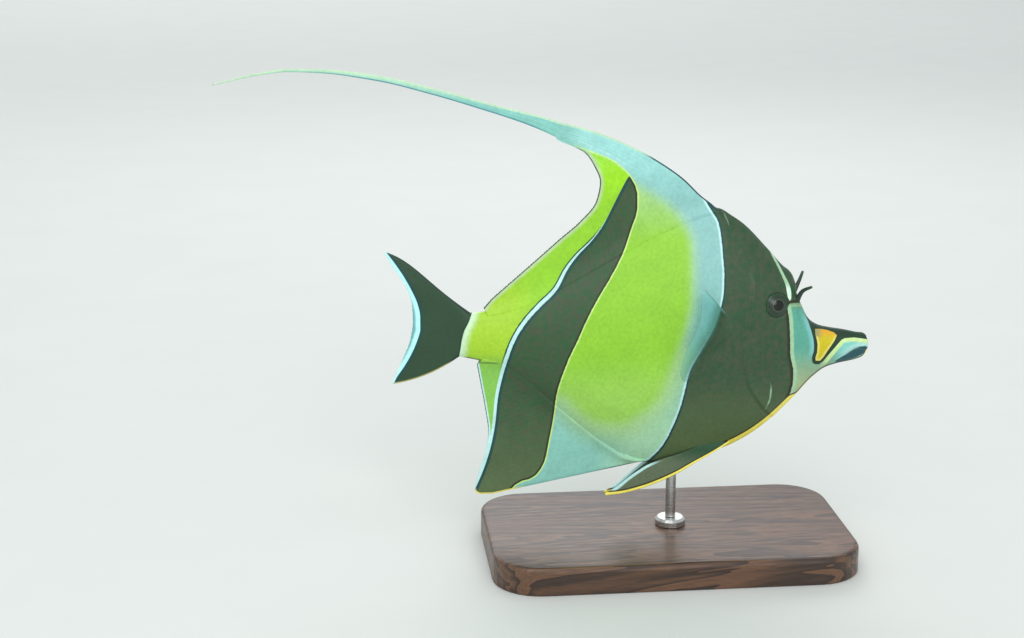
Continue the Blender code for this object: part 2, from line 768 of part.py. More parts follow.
def build():
    clear_scene()
    split = DORSAL_SPLIT
    gap_share = 0.004
    finish(make_head(), ORANGE, 0.45)
    finish(make_lower_jaw(), BLACK, 0.45)
    finish(make_torso(), YELLOW, 0.45)
    finish(make_tail_stalk(), YELLOW, 0.45)
    finish(make_dorsal_fin("dorsal_fin_front", 0.0, split - gap_share, 15), PALE, 0.5)
    finish(make_dorsal_fin("dorsal_fin_rear", split + gap_share, 1.0, 15), YELLOW, 0.5)
    for i, part in enumerate(("root", "middle", "tip")):
        first = STREAMER_CUTS[i]
        last = STREAMER_CUTS[i + 1] - (0.0022 if i < 2 else 0.0)
        finish(make_streamer(f"streamer_{part}", first, last), PALE, 0.5)
    finish(make_anal_fin(), YELLOW, 0.5)
    finish(make_tail_lobe("tail_fin_upper", 0.0, 0.492), BLACK, 0.5)
    finish(make_tail_lobe("tail_fin_lower", 0.508, 1.0), BLACK, 0.5)
    for word, side, horn_path in (("right", -1, HORN_RIGHT), ("left", 1, HORN_LEFT)):
        finish(make_pectoral(f"pectoral_fin_{word}", side), PALE, 0.4)
        finish(make_pelvic(f"pelvic_fin_{word}", side), BLACK, 0.5)
        finish(make_eye(f"eye_{word}", side), BLACK, 0.1)
        finish(make_horn(f"horn_{word}", horn_path), BLACK, 0.4)
    finish(make_base(), WOOD, 0.35)
    finish(make_collar(), STEEL, 0.3, 1.0)
    finish(make_rod(), STEEL, 0.3, 1.0)


build()
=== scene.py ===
"""Dresses a life-size moorish idol on its display stand.

The fish faces +X and its right side faces -Y.  Shapes are worked out in millimetres and
become metres where a mesh is made.  The colours of the flank are laid out on the fish's
middle plane, as they are seen from one place out on its right, and are alike on both sides.
"""

import math

import bmesh
import bpy
import numpy as np
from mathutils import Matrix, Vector


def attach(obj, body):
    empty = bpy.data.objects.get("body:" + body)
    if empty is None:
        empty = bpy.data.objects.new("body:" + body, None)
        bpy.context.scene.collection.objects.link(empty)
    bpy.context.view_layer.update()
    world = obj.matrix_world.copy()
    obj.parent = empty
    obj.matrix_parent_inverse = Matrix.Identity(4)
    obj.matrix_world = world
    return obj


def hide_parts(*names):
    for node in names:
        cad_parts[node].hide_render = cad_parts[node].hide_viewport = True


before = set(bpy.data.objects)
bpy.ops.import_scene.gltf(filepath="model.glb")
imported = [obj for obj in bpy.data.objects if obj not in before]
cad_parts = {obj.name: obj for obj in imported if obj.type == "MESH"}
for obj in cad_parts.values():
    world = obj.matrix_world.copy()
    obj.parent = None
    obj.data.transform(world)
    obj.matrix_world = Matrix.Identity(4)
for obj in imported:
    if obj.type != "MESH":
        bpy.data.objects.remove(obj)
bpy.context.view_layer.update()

bl_info = {
    "name": "Moorish idol on a stand",
    "version": (1, 0, 0),
    "blender": (4, 5, 0),
    "location": "View3D > Sidebar > Idol",
    "description": "Skins, fins, eyes, horns and stand of a life-size moorish idol",
    "category": "Object",
}

MM = 0.001
# Refraction of the varnish on skin, fins and eyes.
SKIN_IOR = 1.4

# Profile of the flesh, without its fins: height of the back and of the belly at X.
BACK = [
    (-93.0, 108.0), (-84.5, 109.0), (-78.7, 109.4), (-67.8, 111.4), (-55.2, 116.2), (-38.4, 125.2),
    (-21.7, 134.6), (-5.0, 143.2), (9.0, 148.9), (18.8, 151.4), (25.8, 147.7), (31.0, 143.9),
    (41.2, 133.3), (48.2, 125.7), (50.2, 124.2), (51.8, 122.2), (52.7, 119.6), (53.5, 115.2),
    (56.4, 108.6), (58.9, 103.8), (61.4, 101.2), (65.0, 99.4), (76.0, 97.2), (81.3, 96.0),
    (83.2, 95.8), (84.8, 95.0), (85.6, 93.2),
]
BELLY = [
    (-93.0, 91.6), (-88.0, 90.2), (-80.4, 88.4), (-72.0, 85.8), (-63.5, 79.4), (-46.4, 64.2),
    (-29.1, 49.4), (-18.0, 42.6), (-8.0, 41.0), (5.8, 42.4), (24.0, 46.2), (32.9, 50.3),
    (41.6, 56.2), (53.1, 67.0), (62.4, 77.3), (67.9, 81.2), (73.5, 82.8), (80.0, 84.0),
    (83.4, 85.2), (84.9, 86.8), (85.6, 88.6),
]
HALF_WIDTH = [
    (-93.0, 3.0), (-80.0, 4.2), (-68.0, 5.4), (-55.0, 7.3), (-40.0, 9.7), (-25.0, 11.9),
    (-10.0, 13.4), (5.0, 14.2), (20.0, 14.0), (33.0, 12.8), (43.5, 11.0), (50.0, 9.5),
    (56.0, 7.9), (62.0, 6.3), (69.0, 5.1), (76.0, 4.3), (81.0, 3.6), (82.6, 3.7), (84.6, 3.3),
    (85.6, 2.3),
]
WIDEST_AT = [
    (-93.0, 99.6), (-60.0, 97.0), (-30.0, 93.0), (0.0, 94.0), (20.0, 97.0), (43.5, 101.0),
    (56.0, 94.0), (66.0, 91.0), (85.6, 90.8),
]
KEEL_POWER = [
    (-93.0, 1.15), (-65.0, 1.55), (0.0, 1.75), (25.0, 1.6), (45.0, 1.25), (60.0, 1.0), (85.6, 1.0),
]
KEEL_FLAT = [(-93.0, 1.3), (30.0, 1.3), (45.0, 1.0), (60.0, 0.7), (85.6, 0.5)]
SNOUT_TIP = 85.6
# Middle height of the tail stalk, and how far its last rings lean for each mm of height.
TAIL_MIDDLE = 99.8
TAIL_LEAN = 0.2447
MOUTH_HEIGHT = 90.3
# Rings of the skin as (from, to, step) along X, points round each, and the depth of the lips.
SKIN_RUNS = [
    (-86.5, -70, 0.7), (-70, 22, 0.95), (22, 48, 0.42), (48, 58, 0.17),
    (58, 64, 0.22), (64, 81.5, 0.3), (81.5, 85.5, 0.15),
]
SKIN_AROUND = 224
LIP_DEPTH = 0.9
# How far each closing ring of the skin stands behind the last, and where they would meet.
REAR_DRAW = [0.5, 1.0, 1.4, 1.7, 1.9]
REAR_END = 2.1

GILL_EDGE = [
    (13.5, 172.0), (20.4, 151.0), (28.0, 135.0), (32.6, 120.0), (31.0, 107.0),
    (28.8, 93.0), (31.4, 79.0), (38.6, 67.0), (47.0, 57.0), (54.0, 30.0),
]
CHEEK_PLATE = [(34.0, 112.0), (36.5, 104.0), (35.6, 94.0), (36.6, 84.0), (40.5, 75.0), (46.5, 68.5)]
BROW = [(52.0, 118.0), (44.0, 121.0), (37.0, 118.0)]
SENSE_LINE = [
    (29.0, 126.0), (18.0, 129.5), (2.0, 128.0), (-16.0, 121.5), (-38.0, 110.5),
    (-58.0, 103.5), (-75.0, 100.8), (-86.0, 100.0),
]
JAW_LINE = [(90.0, 90.4), (80.4, 90.0), (76.4, 88.0), (70.6, 84.9), (66.0, 78.0)]

EYE_CENTRE = (43.6, 111.4)
EYE_RADIUS = 5.6
# How far the glass stays inside the solid's depth and radius.
EYE_SHY = 0.12
EYE_INSET = 0.1
EYE_DEPTH = 2.6
EYE_SUNK = 1.3
HORN_RIGHT = [(52.4, -5.4, 110.6), (54.8, -7.3, 116.5), (58.0, -10.5, 119.1)]
HORN_LEFT = [(53.0, 5.6, 109.4), (57.0, 7.6, 117.2), (59.2, 10.0, 121.0)]
# Middle of the swelling under the horns, radius at a horn's root, what it loses towards the
# tip, its flatness, and its number of growth rings.
HORN_FOOT = (52.8, 111.6)
HORN_ROOT_RADIUS = 1.34
HORN_TAPER = 0.78
HORN_FLATNESS = 0.92
HORN_RINGS = 9
NOSTRILS = ((53.2, 107.0), (54.6, 104.6))

# How far the rays of the upright fins and of the tail start inside the flesh, the least
# half thickness, and the hair by which it stays under the solids', in mm.
ROOT_SUNK = 4.5
TAIL_SUNK = 3.2
THINNEST = 0.05
HAIR = 0.02

DORSAL_ROOT = [(0.0, 18.2), (0.13, 3.0), (1.0, -78.2)]
DORSAL_EDGE = [
    (-46.3, 188.2), (-48.75, 182.2), (-40.8, 178.2), (-36.6, 175.3), (-33.4, 170.7), (-30.6, 163.4),
    (-32.0, 155.6), (-38.6, 147.0), (-47.3, 139.4), (-54.8, 132.8), (-62.3, 126.4), (-70.7, 119.3),
    (-75.8, 114.8), (-78.9, 111.2),
]
DORSAL_BULGE = 5.4
DORSAL_SPINES = 7
DORSAL_RAYS = 40
STREAMER = [
    (-48.0, 185.3, 3.15), (-55.0, 188.2, 2.7), (-62.5, 190.7, 2.2), (-74.7, 194.4, 1.7),
    (-98.3, 201.5, 1.35), (-121.8, 207.4, 1.15), (-145.3, 210.4, 0.8), (-156.8, 210.7, 0.65),
    (-168.4, 209.3, 0.5), (-187.0, 205.2, 0.3),
]
STREAMER_SWAY = 4.0
ANAL_ROOT = (-12.0, -80.6)
ANAL_EDGE = [
    (-75.5, 28.8), (-80.5, 28.9), (-82.9, 30.6), (-81.4, 37.9), (-78.6, 47.4),
    (-77.2, 57.0), (-78.4, 67.0), (-80.2, 77.5), (-81.8, 86.6),
]
ANAL_RAYS = 36
TAIL_ROOT = [(-84.5, 109.2), (-89.1, 90.4)]
TAIL_EDGE = [
    (-119.7, 135.7), (-116.5, 129.7), (-112.8, 124.2), (-110.2, 118.9), (-108.7, 113.4),
    (-108.4, 106.5), (-109.5, 98.8), (-113.0, 89.4), (-117.5, 78.8),
]
TAIL_RAYS = 16
PECTORAL_ROOT = (24.5, 11.4, 101.0)
PECTORAL_SWING = 38.0
PECTORAL_FAN = (42.0, -31.0)
PECTORAL_REACH = [
    (0.0, 25.8), (0.12, 23.9), (0.3, 21.3), (0.5, 22.7), (0.75, 27.4), (0.9, 29.5), (1.0, 28.3),
]
PECTORAL_ROOT_HEIGHT = 7.0
# Middle of the swelling round the root.
PECTORAL_FOOT = (23.0, 101.0)
PECTORAL_RAYS = 18
PELVIC_SPINE = [
    (27.0, 50.0), (20.0, 45.7), (12.0, 41.1), (5.0, 36.9), (-2.8, 32.9), (-10.6, 29.8),
    (-19.3, 27.5), (-26.7, 26.7),
]
PELVIC_REAR = [
    (15.0, 50.0), (9.0, 47.0), (3.0, 44.8), (-3.0, 43.0), (-8.6, 40.6), (-13.4, 37.4),
    (-17.6, 34.1), (-21.5, 30.7), (-26.8, 27.6),
]
PELVIC_OUT = [(0.0, 3.5), (0.12, 3.9), (0.4, 3.8), (0.6, 2.8), (0.8, 1.8), (1.0, 1.3)]
PELVIC_SPREAD = 0.3

# Where the layout of the colours is seen from, and its lines on the middle plane.
# The area meant lies on the left of each line as it runs.
LAYOUT_VIEW = (-147.69, -768.51, 312.94)
EDGES = {
    "front_band_rear": [
        (8.0, 168.0), (14.4, 153.8), (16.8, 150.0), (19.5, 145.6), (21.0, 139.1), (22.1, 130.4),
        (22.9, 121.6), (22.8, 115.0), (21.8, 108.2), (19.8, 100.8), (14.1, 90.0), (8.9, 79.8),
        (7.4, 73.1), (5.9, 66.3), (2.8, 57.4), (-2.4, 47.2), (-7.8, 41.7), (-16.0, 34.0),
    ],
    "front_band_front": [
        (49.0, 55.0), (51.9, 66.5), (53.5, 71.0), (54.2, 75.4), (54.0, 80.0), (53.2, 83.8),
        (52.5, 87.0), (52.3, 91.5), (52.0, 96.0), (51.6, 101.0), (51.0, 105.0), (50.4, 107.6),
        (51.5, 109.3), (53.7, 109.6), (57.0, 109.6), (62.0, 110.4), (70.0, 112.0),
    ],
    "rear_band_front": [
        (-71.0, 24.0), (-67.2, 30.9), (-62.9, 34.0), (-58.6, 35.1), (-55.7, 37.6), (-52.9, 42.8),
        (-51.3, 50.9), (-49.2, 62.7), (-48.1, 71.6), (-43.6, 85.9), (-39.1, 95.8), (-35.4, 104.5),
        (-30.4, 114.2), (-25.4, 122.9), (-20.2, 133.6), (-17.2, 143.2), (-14.7, 151.8),
        (-14.8, 158.2), (-18.2, 165.6), (-20.6, 168.0), (-25.3, 171.8), (-32.2, 174.9),
        (-36.4, 176.4), (-39.4, 177.9), (-43.0, 177.8), (-60.0, 172.0), (-90.0, 160.0),
    ],
    "rear_band_rear": [
        (0.0, 182.0), (-10.0, 174.0), (-18.2, 165.8), (-21.8, 159.4), (-25.4, 152.0),
        (-29.2, 144.6), (-33.9, 138.2), (-39.0, 132.9), (-43.6, 126.6), (-48.0, 117.9),
        (-55.5, 110.2), (-61.0, 103.9), (-65.4, 96.8), (-68.7, 88.2), (-71.2, 79.6),
        (-73.0, 70.8), (-74.0, 60.6), (-75.7, 51.1), (-78.5, 41.5), (-82.1, 32.6), (-86.0, 24.0),
    ],
    "tail_line": [
        (-90.0, 82.0), (-89.2, 90.0), (-88.6, 93.1), (-88.1, 96.7), (-87.1, 100.8),
        (-85.0, 105.1), (-83.7, 108.9), (-82.4, 112.5), (-80.0, 120.0),
    ],
    "tail_margin": [
        (-119.0, 72.0), (-116.0, 80.4), (-112.5, 86.1), (-109.1, 92.0), (-106.5, 98.1),
        (-105.3, 102.7), (-105.3, 108.1), (-106.3, 113.4), (-108.5, 118.8), (-111.5, 124.6),
        (-115.1, 130.3), (-118.0, 134.2), (-124.0, 142.0),
    ],
    "snout_black": [
        (56.0, 112.0), (56.8, 108.8), (57.3, 107.2), (58.5, 103.9), (59.9, 100.8), (61.2, 97.2),
        (62.3, 93.5), (62.7, 90.8), (62.7, 88.0), (62.2, 86.3), (62.0, 85.0), (62.2, 83.3),
        (63.0, 82.3), (65.2, 82.1), (67.0, 83.4), (69.1, 86.0), (71.2, 88.6), (73.2, 91.0),
        (74.7, 92.8), (76.1, 93.4), (80.0, 93.6), (85.7, 92.7), (90.0, 92.4),
    ],
    "saddle": [
        (72.5, 94.9), (71.1, 96.1), (68.3, 97.2), (65.6, 97.8), (62.9, 97.9), (63.2, 95.2),
        (63.9, 92.9), (64.3, 90.7), (64.2, 87.4), (63.6, 85.2), (63.7, 83.8), (65.6, 83.7),
        (67.2, 85.5), (68.7, 88.0), (70.3, 90.4), (71.5, 92.3), (72.5, 94.9),
    ],
    "jaw_patch": [
        (87.0, 88.9), (85.1, 89.7), (82.9, 89.5), (80.0, 88.5), (78.2, 87.3), (76.6, 86.2),
        (74.9, 85.3), (73.4, 84.3), (71.8, 83.1), (73.5, 82.8), (75.7, 83.2), (79.1, 83.9),
        (81.5, 84.7), (83.8, 85.9), (85.6, 87.2), (87.0, 88.9),
    ],
}
BAND_EDGES = ["front_band_rear", "front_band_front", "rear_band_front", "rear_band_rear", "rear_line"]
# Marks whose corners stay sharp.
CORNERED = ("snout_black", "saddle", "jaw_patch")
YELLOW_EDGE = [
    (-60.0, 74.0), (-45.2, 70.5), (-37.8, 63.6), (-29.2, 58.6), (-20.5, 57.6), (-11.5, 61.6),
    (-4.0, 68.0), (0.6, 77.0), (4.4, 87.0), (8.2, 99.0), (10.4, 112.0), (10.2, 125.0),
    (9.2, 137.0), (3.4, 148.4), (-6.4, 156.8), (-16.0, 162.5), (-24.0, 168.0), (-40.0, 178.0),
]
# Width of the bright line behind the rear band, and of the yellow field's soft edge, by height.
REAR_LINE_WIDTH = [
    (20.0, 0.7), (30.0, 0.9), (45.0, 1.15), (70.0, 1.3), (92.0, 1.6), (115.0, 1.7),
    (128.0, 1.2), (140.0, 0.4), (165.0, -0.6),
]
YELLOW_SOFTNESS = [(55.0, 11.0), (72.0, 9.5), (90.0, 6.6), (150.0, 6.0), (164.0, 5.0)]
# Thin strokes as (path, half width at each share of it).
STROKES = {
    "brow_stroke": (
        [(41.0, 134.6), (42.5, 131.9), (45.7, 126.3), (48.0, 121.9), (50.4, 116.6), (51.5, 110.9)],
        [(0.0, 0.1), (0.2, 0.45), (0.6, 0.62), (0.85, 0.95), (0.95, 0.8), (1.0, 0.3)],
    ),
    "shoulder_strokes": (
        [(20.4, 150.2), (21.8, 149.1), (23.1, 146.6), (23.7, 145.3), (24.4, 143.1)],
        [(0.0, -0.1), (0.3, 0.25), (0.8, 0.2), (1.0, -0.1)],
    ),
    "silk_streaks": (
        [(-46.0, 183.0), (-38.0, 180.0), (-30.0, 176.2), (-22.0, 172.0), (-15.0, 167.0)],
        [(0.0, -0.1), (0.3, 0.3), (0.8, 0.3), (1.0, -0.1)],
    ),
    "chin_rim": (
        [(70.5, 81.2), (73.4, 82.0), (77.7, 83.2), (81.8, 84.3), (85.6, 86.2)],
        [(0.0, 0.1), (0.3, 0.5), (1.0, 0.5)],
    ),
    # A painted shadow: the dark line that the tail stalk casts on the anal fin under it.
    "stalk_shadow_stroke": (
        [(-87.0, 89.6), (-81.8, 87.4), (-74.4, 86.9), (-70.6, 86.4)],
        [(0.0, -0.1), (0.3, 0.3), (0.8, 0.3), (1.0, -0.1)],
    ),
    "cheek_stroke": (
        [(43.7, 76.4), (44.7, 72.1), (44.4, 67.7), (42.8, 63.3), (40.3, 59.6)],
        [(0.0, -0.1), (0.3, 0.4), (0.6, 0.35), (1.0, -0.1)],
    ),
}


def linear(code):
    """An sRGB hex colour as linear red, green and blue."""
    parts = np.array([int(code[i : i + 2], 16) for i in (1, 3, 5)]) / 255
    return tuple(np.where(parts > 0.04045, ((parts + 0.055) / 1.055) ** 2.4, parts / 12.92).tolist())


def ease(low, high, value):
    """0 below low, 1 above high, and 3t^2 - 2t^3 between them; low may be the higher."""
    share = np.clip((value - low) / (high - low), 0, 1)
    return share * share * (3 - 2 * share)


def hump(value, width):
    """A rounded ridge: exp(-(value / width)^2)."""
    return np.exp(-((value / width) ** 2))


def smooth(points):
    """A curve through (x, value) points that doesn't overshoot: a cubic with limited slopes."""
    points = np.array(points, float)
    xs, ys = points[np.argsort(points[:, 0])].T
    step = np.diff(xs)
    rise = np.diff(ys) / step
    slope = np.zeros_like(xs)
    same_way = rise[:-1] * rise[1:] > 0
    mean = 2 * rise[:-1] * rise[1:] / np.where(same_way, rise[:-1] + rise[1:], 1)
    slope[1:-1] = np.where(same_way, mean, 0)
    slope[0], slope[-1] = rise[0], rise[-1]

    def value(x):
        x = np.clip(x, xs[0], xs[-1])
        i = np.clip(np.searchsorted(xs, x) - 1, 0, len(xs) - 2)
        t = (x - xs[i]) / step[i]
        return (
            ys[i] * (1 + 2 * t) * (1 - t) ** 2
            + slope[i] * step[i] * t * (1 - t) ** 2
            + ys[i + 1] * t * t * (3 - 2 * t)
            + slope[i + 1] * step[i] * t * t * (t - 1)
        )

    return value


def reach_along(points):
    """Share of a path's length at each of its points, and the whole length."""
    steps = np.linalg.norm(np.diff(points, axis=0), axis=1)
    reach = np.append(0, np.cumsum(steps))
    return reach / reach[-1], reach[-1]


def along(points):
    """A smooth path through points, taken by the share of its length from 0 to 1."""
    points = np.array(points, float)
    reach = reach_along(points)[0]
    axes = [smooth(np.column_stack([reach, axis])) for axis in points.T]
    return lambda share: np.stack([axis(share) for axis in axes], -1)


back, belly = smooth(BACK), smooth(BELLY)
half_width, widest_at = smooth(HALF_WIDTH), smooth(WIDEST_AT)
keel_power, keel_flat = smooth(KEEL_POWER), smooth(KEEL_FLAT)


def beside(a, b, path, steps=72):
    """Distance from a path at places (a, b), plus on its left and minus on its right.

    The path is smoothed and cut into short straight lengths, or kept as it is for 0 steps.
    The nearest length gives the distance, and the cross product of its direction with the
    way to the place gives the sign.  At a corner the length that the place lies more
    squarely beside decides.
    """
    points = along(path)(np.linspace(0, 1, steps)) if steps else np.array(path)
    signed = np.full(np.shape(a), 1e9)
    squarely = np.zeros(np.shape(a))
    for (px, pz), (dx, dz) in zip(points[:-1], np.diff(points, axis=0)):
        to_a, to_b = a - px, b - pz
        share = np.clip((to_a * dx + to_b * dz) / (dx * dx + dz * dz), 0, 1)
        distance = np.hypot(to_a - dx * share, to_b - dz * share)
        across = (dx * to_b - dz * to_a) / math.hypot(dx, dz)
        gain = np.abs(signed) - distance
        better = (gain > 1e-6) | ((gain > -1e-6) & (np.abs(across) > squarely))
        signed = np.where(better, np.where(across >= 0, distance, -distance), signed)
        squarely = np.where(better, np.abs(across), squarely)
    return signed


def stroke(a, b, path, widths):
    """How far places lie inside a stroke: its half width there less the distance from its line."""
    shares = np.linspace(0, 1, 40)
    points = along(path)(shares)
    halves = np.interp(shares, *np.array(widths).T)
    inside = np.full(np.shape(a), -1e9)
    for (px, pz), half in zip(points, halves):
        inside = np.maximum(inside, half - np.hypot(a - px, b - pz))
    return inside


def flank(x, z):
    """Half width of the flesh at a place on its side."""
    middle = widest_at(x)
    reach = np.where(z > middle, back(x) - middle, middle - belly(x))
    share = np.clip(np.abs(z - middle) / reach, 0, 1)
    flat = keel_flat(x)
    return flat + (half_width(x) - flat) * (1 - share**2) ** (keel_power(x) / 2)


def layout_place(points):
    """Where the sight line from the layout's view through each point meets the middle plane.

    A point on the left is first mirrored to the right: view + (point - view) * d / (d - |y|),
    where d is how far out the view lies.
    """
    from_x, from_y, from_z = LAYOUT_VIEW
    stretch = -from_y / (-from_y - np.abs(points[:, 1]))
    return from_x + (points[:, 0] - from_x) * stretch, from_z + (points[:, 2] - from_z) * stretch


def marks_on(points, wanted):
    """Numbers for the colours at each point: distances in mm from the layout's lines, and weights."""
    a, b = layout_place(points)
    marks = {"length": a, "height": b}
    for name in wanted:
        if name in EDGES:
            marks[name] = beside(a, b, EDGES[name], 0 if name in CORNERED else 72)
        elif name in STROKES:
            marks[name] = stroke(a, b, *STROKES[name])
    if "rear_line" in wanted:
        marks["rear_line"] = marks["rear_band_rear"] + np.interp(b, *np.array(REAR_LINE_WIDTH).T)
    if "yellow" in wanted:
        soft = np.interp(b, *np.array(YELLOW_SOFTNESS).T)
        inside = beside(a, b, YELLOW_EDGE)
        marks["yellow"] = ease(-1, 1, inside / soft)
        marks["haze"] = ease(-17, 5, inside) * ease(100, 84, b)
    # The throat's lower edge: distance from it, where a warm reflection from below is painted.
    if "keel_line" in wanted:
        fade = ease(16, 22, a) * ease(56.5, 52, a)
        marks["keel_line"] = 1.9 * fade - (b - belly(a)) - 0.4 * (1 - fade)
    return marks


def new_piece(name, points, faces, marks=None):
    """Puts points in mm and faces into a mesh at the origin, with a number a point for each mark."""
    mesh = bpy.data.meshes.new(name)
    mesh.from_pydata(points * MM, [], faces)
    mesh.update()
    for key, values in (marks or {}).items():
        layer = mesh.attributes.new(key, "FLOAT", "POINT")
        layer.data.foreach_set("value", np.ascontiguousarray(values, dtype=np.float32))
    work = bmesh.new()
    work.from_mesh(mesh)
    bmesh.ops.remove_doubles(work, verts=work.verts, dist=2e-7)
    if work.calc_volume(signed=True) < 0:
        bmesh.ops.reverse_faces(work, faces=work.faces)
    work.to_mesh(mesh)
    work.free()
    mesh.shade_smooth()
    obj = bpy.data.objects.new(name, mesh)
    bpy.context.scene.collection.objects.link(obj)
    return obj


def dress(obj, material, slot, *nodes):
    """Gives a piece its finish and its body, and hides the solids that it stands for."""
    obj.data.materials.clear()
    obj.data.materials.append(material)
    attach(obj, "root")
    if nodes:
        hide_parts(*nodes)
    return obj


def grid_faces(rows, columns, closed=False):
    """Four-sided faces of a grid of points, joined round where it is closed."""
    number = np.arange(rows * columns).reshape(rows, columns)
    if closed:
        number = np.column_stack([number, number[:, 0]])
    corners = (number[:-1, :-1], number[:-1, 1:], number[1:, 1:], number[1:, :-1])
    return np.stack([corner.ravel() for corner in corners], -1)


def pole_faces(rows, around):
    """Faces of closed rings, with a pole at each end, numbered after the rings."""
    number = np.arange(around)
    after = np.roll(number, -1)
    last, pole = (rows - 1) * around, rows * around
    start = np.column_stack([after, number, np.full(around, pole)])
    end = np.column_stack([last + number, last + after, np.full(around, pole + 1)])
    return grid_faces(rows, around, closed=True).tolist() + start.tolist() + end.tolist()


def shell(middle, half, outward, faces):
    """Two skins at middle - outward * half and middle + outward * half.

    A wall closes every open edge.
    """
    count = len(middle)
    shift = outward * half[:, None]
    points = np.concatenate([middle - shift, middle + shift])
    edges = np.concatenate([faces[:, [i, (i + 1) % 4]] for i in range(4)])
    low, high = edges.min(1), edges.max(1)
    first, uses = np.unique(low * count + high, return_index=True, return_counts=True)[1:]
    a, b = edges[first[uses == 1]].T
    walls = np.stack([b + count, a + count, a, b], -1)
    return points, np.concatenate([faces[:, ::-1], faces + count, walls])


def both_skins(marks):
    """Marks of a sheet's middle, once for each of its skins."""
    return {key: np.tile(values, 2) for key, values in marks.items()}


def relief(x, z):
    """Detail modelled on the flesh in mm: a sum of steps, ridges and hollows at places on its side."""
    gill = beside(x, z, GILL_EDGE)
    ends = ease(54, 66, z) * ease(128, 116, z)
    height = 0.6 * (1 - np.clip(gill / 7, 0, 1)) ** 2 * ease(-0.6, 0.6, gill) * ends
    height -= 0.12 * hump(gill + 0.9, 0.7) * ends
    plate = beside(x, z, CHEEK_PLATE)
    height += 0.12 * hump(plate, 1.2) * ease(66, 74, z) * ease(114, 108, z)
    height += 0.3 * hump(beside(x, z, BROW), 1.9)
    orbit = np.hypot(x - EYE_CENTRE[0], z - EYE_CENTRE[1])
    height += 0.25 * hump(orbit - 6.3, 0.9) - 1.5 * ease(5.3, 4.2, orbit)
    for nx, nz in NOSTRILS:
        pit = np.hypot(x - nx, z - nz)
        height += 0.08 * hump(pit - 1.0, 0.35) - 0.4 * hump(pit, 0.5)
    gape = beside(x, z, JAW_LINE)
    height -= 0.42 * hump(gape, 0.3) * ease(70, 74, x)
    height += 0.22 * hump(np.abs(gape) - 0.9, 0.5) * ease(78, 81, x)
    height += 0.6 * hump(np.hypot(x - HORN_FOOT[0], z - HORN_FOOT[1]), 2.0)
    foot = PECTORAL_FOOT
    height += 0.6 * hump(np.hypot((x - foot[0]) / 3.2, (z - foot[1]) / 5.0), 1.0)
    height += 0.05 * hump(beside(x, z, SENSE_LINE), 0.7) * ease(30, 27, x)
    return height


def skin_surface():
    """Points of the skin, ring by ring, and its faces.

    Height is middle + reach * sin(turn) and half width is flat * |cos(turn)|^0.35 +
    (width - flat) * |cos(turn)|^power.  Rings near the tail lean with the root of its fin.
    The relief is added along the surface's normal, the lips roll in to a slit, and the
    rear rings draw in under the tail fin.
    """
    around = SKIN_AROUND
    t = np.linspace(-1, 1, around // 2 + 1)
    turn = math.pi / 2 * (0.72 * t + 0.28 * t**3)
    turn = np.concatenate([turn, math.pi - turn[1:-1][::-1]])
    station = np.concatenate([np.arange(*run) for run in SKIN_RUNS] + [[SNOUT_TIP]])[:, None]
    lean = TAIL_LEAN * ease(-62, -82, station)
    up, across = np.sin(turn)[None, :], np.cos(turn)[None, :]
    x = station + 0 * up
    for _ in range(4):
        middle = widest_at(x)
        reach = np.where(up > 0, back(x) - middle, middle - belly(x))
        z = middle + reach * up
        x = station + lean * (z - TAIL_MIDDLE)
    flat, side = keel_flat(x), np.abs(across)
    half = flat * side**0.35 + (half_width(x) - flat) * side ** keel_power(x)
    rings = np.stack([x, -np.sign(across) * half, z], -1)
    round_way = np.roll(rings, -1, 1) - np.roll(rings, 1, 1)
    normal = np.cross(round_way, np.gradient(rings, axis=0))
    normal /= np.linalg.norm(normal, axis=-1, keepdims=True)
    normal *= np.sign((normal[..., 1] * rings[..., 1]).sum())
    detail = relief(x, z) * ease(0, 0.25, side) * ease(85.5, 84.6, station)
    rings = rings + normal * detail[..., None]

    roll = np.linspace(0, math.pi / 2, 9)[1:, None]
    last = rings[-1]
    lips = np.stack(
        [
            SNOUT_TIP - LIP_DEPTH * (1 - np.cos(roll)) + 0 * last[:, 0],
            last[:, 1] * (1 - 0.3 * (1 - np.cos(roll))),
            MOUTH_HEIGHT + (last[:, 2] - MOUTH_HEIGHT) * (1 - np.sin(roll)),
        ],
        -1,
    )
    draw = np.array(REAR_DRAW)[:, None]
    first = rings[0]
    squeeze = np.sqrt(1 - (draw / REAR_END) ** 2)
    rear = np.stack(
        [
            first[:, 0] - draw,
            first[:, 1] * squeeze,
            TAIL_MIDDLE + (first[:, 2] - TAIL_MIDDLE) * (0.82 + 0.18 * squeeze),
        ],
        -1,
    )[::-1]
    rings = np.concatenate([rear, rings, lips])
    rows = len(rings)
    points = rings.reshape(-1, 3)
    faces = grid_faces(rows, around, closed=True)
    cap = np.stack([np.arange(1, around // 2), np.arange(2, around // 2 + 1)], -1)
    cap = np.column_stack([cap, (around - cap[:, ::-1]) % around])
    cap = np.concatenate([cap, [[0, 1, around - 1, around - 1]]])
    flat_cap = [list(dict.fromkeys(face)) for face in cap.tolist()]
    return points, faces[:, ::-1].tolist() + flat_cap


def make_skin(sizes, tones):
    points, faces = skin_surface()
    wanted = [name for name in EDGES if name != "tail_margin"]
    wanted += ["brow_stroke", "shoulder_strokes", "cheek_stroke", "stalk_shadow_stroke", "chin_rim"]
    wanted += ["rear_line", "yellow", "keel_line"]
    skin = new_piece("skin", points, faces, marks_on(points, wanted))
    dress(skin, skin_finish(sizes, tones), "torso", "head", "lower_jaw", "torso", "tail_stalk")


def ray_ridge(phase, out, split_from=0.5):
    """Height of the rays over the membrane, 0 to 1.

    There is a hump at each whole phase, which parts in two further out.
    """
    part = 0.22 * ease(split_from, 1.05, out)
    offset = phase - np.round(phase)
    return np.maximum(hump(offset - part, 0.17), hump(offset + part, 0.17))


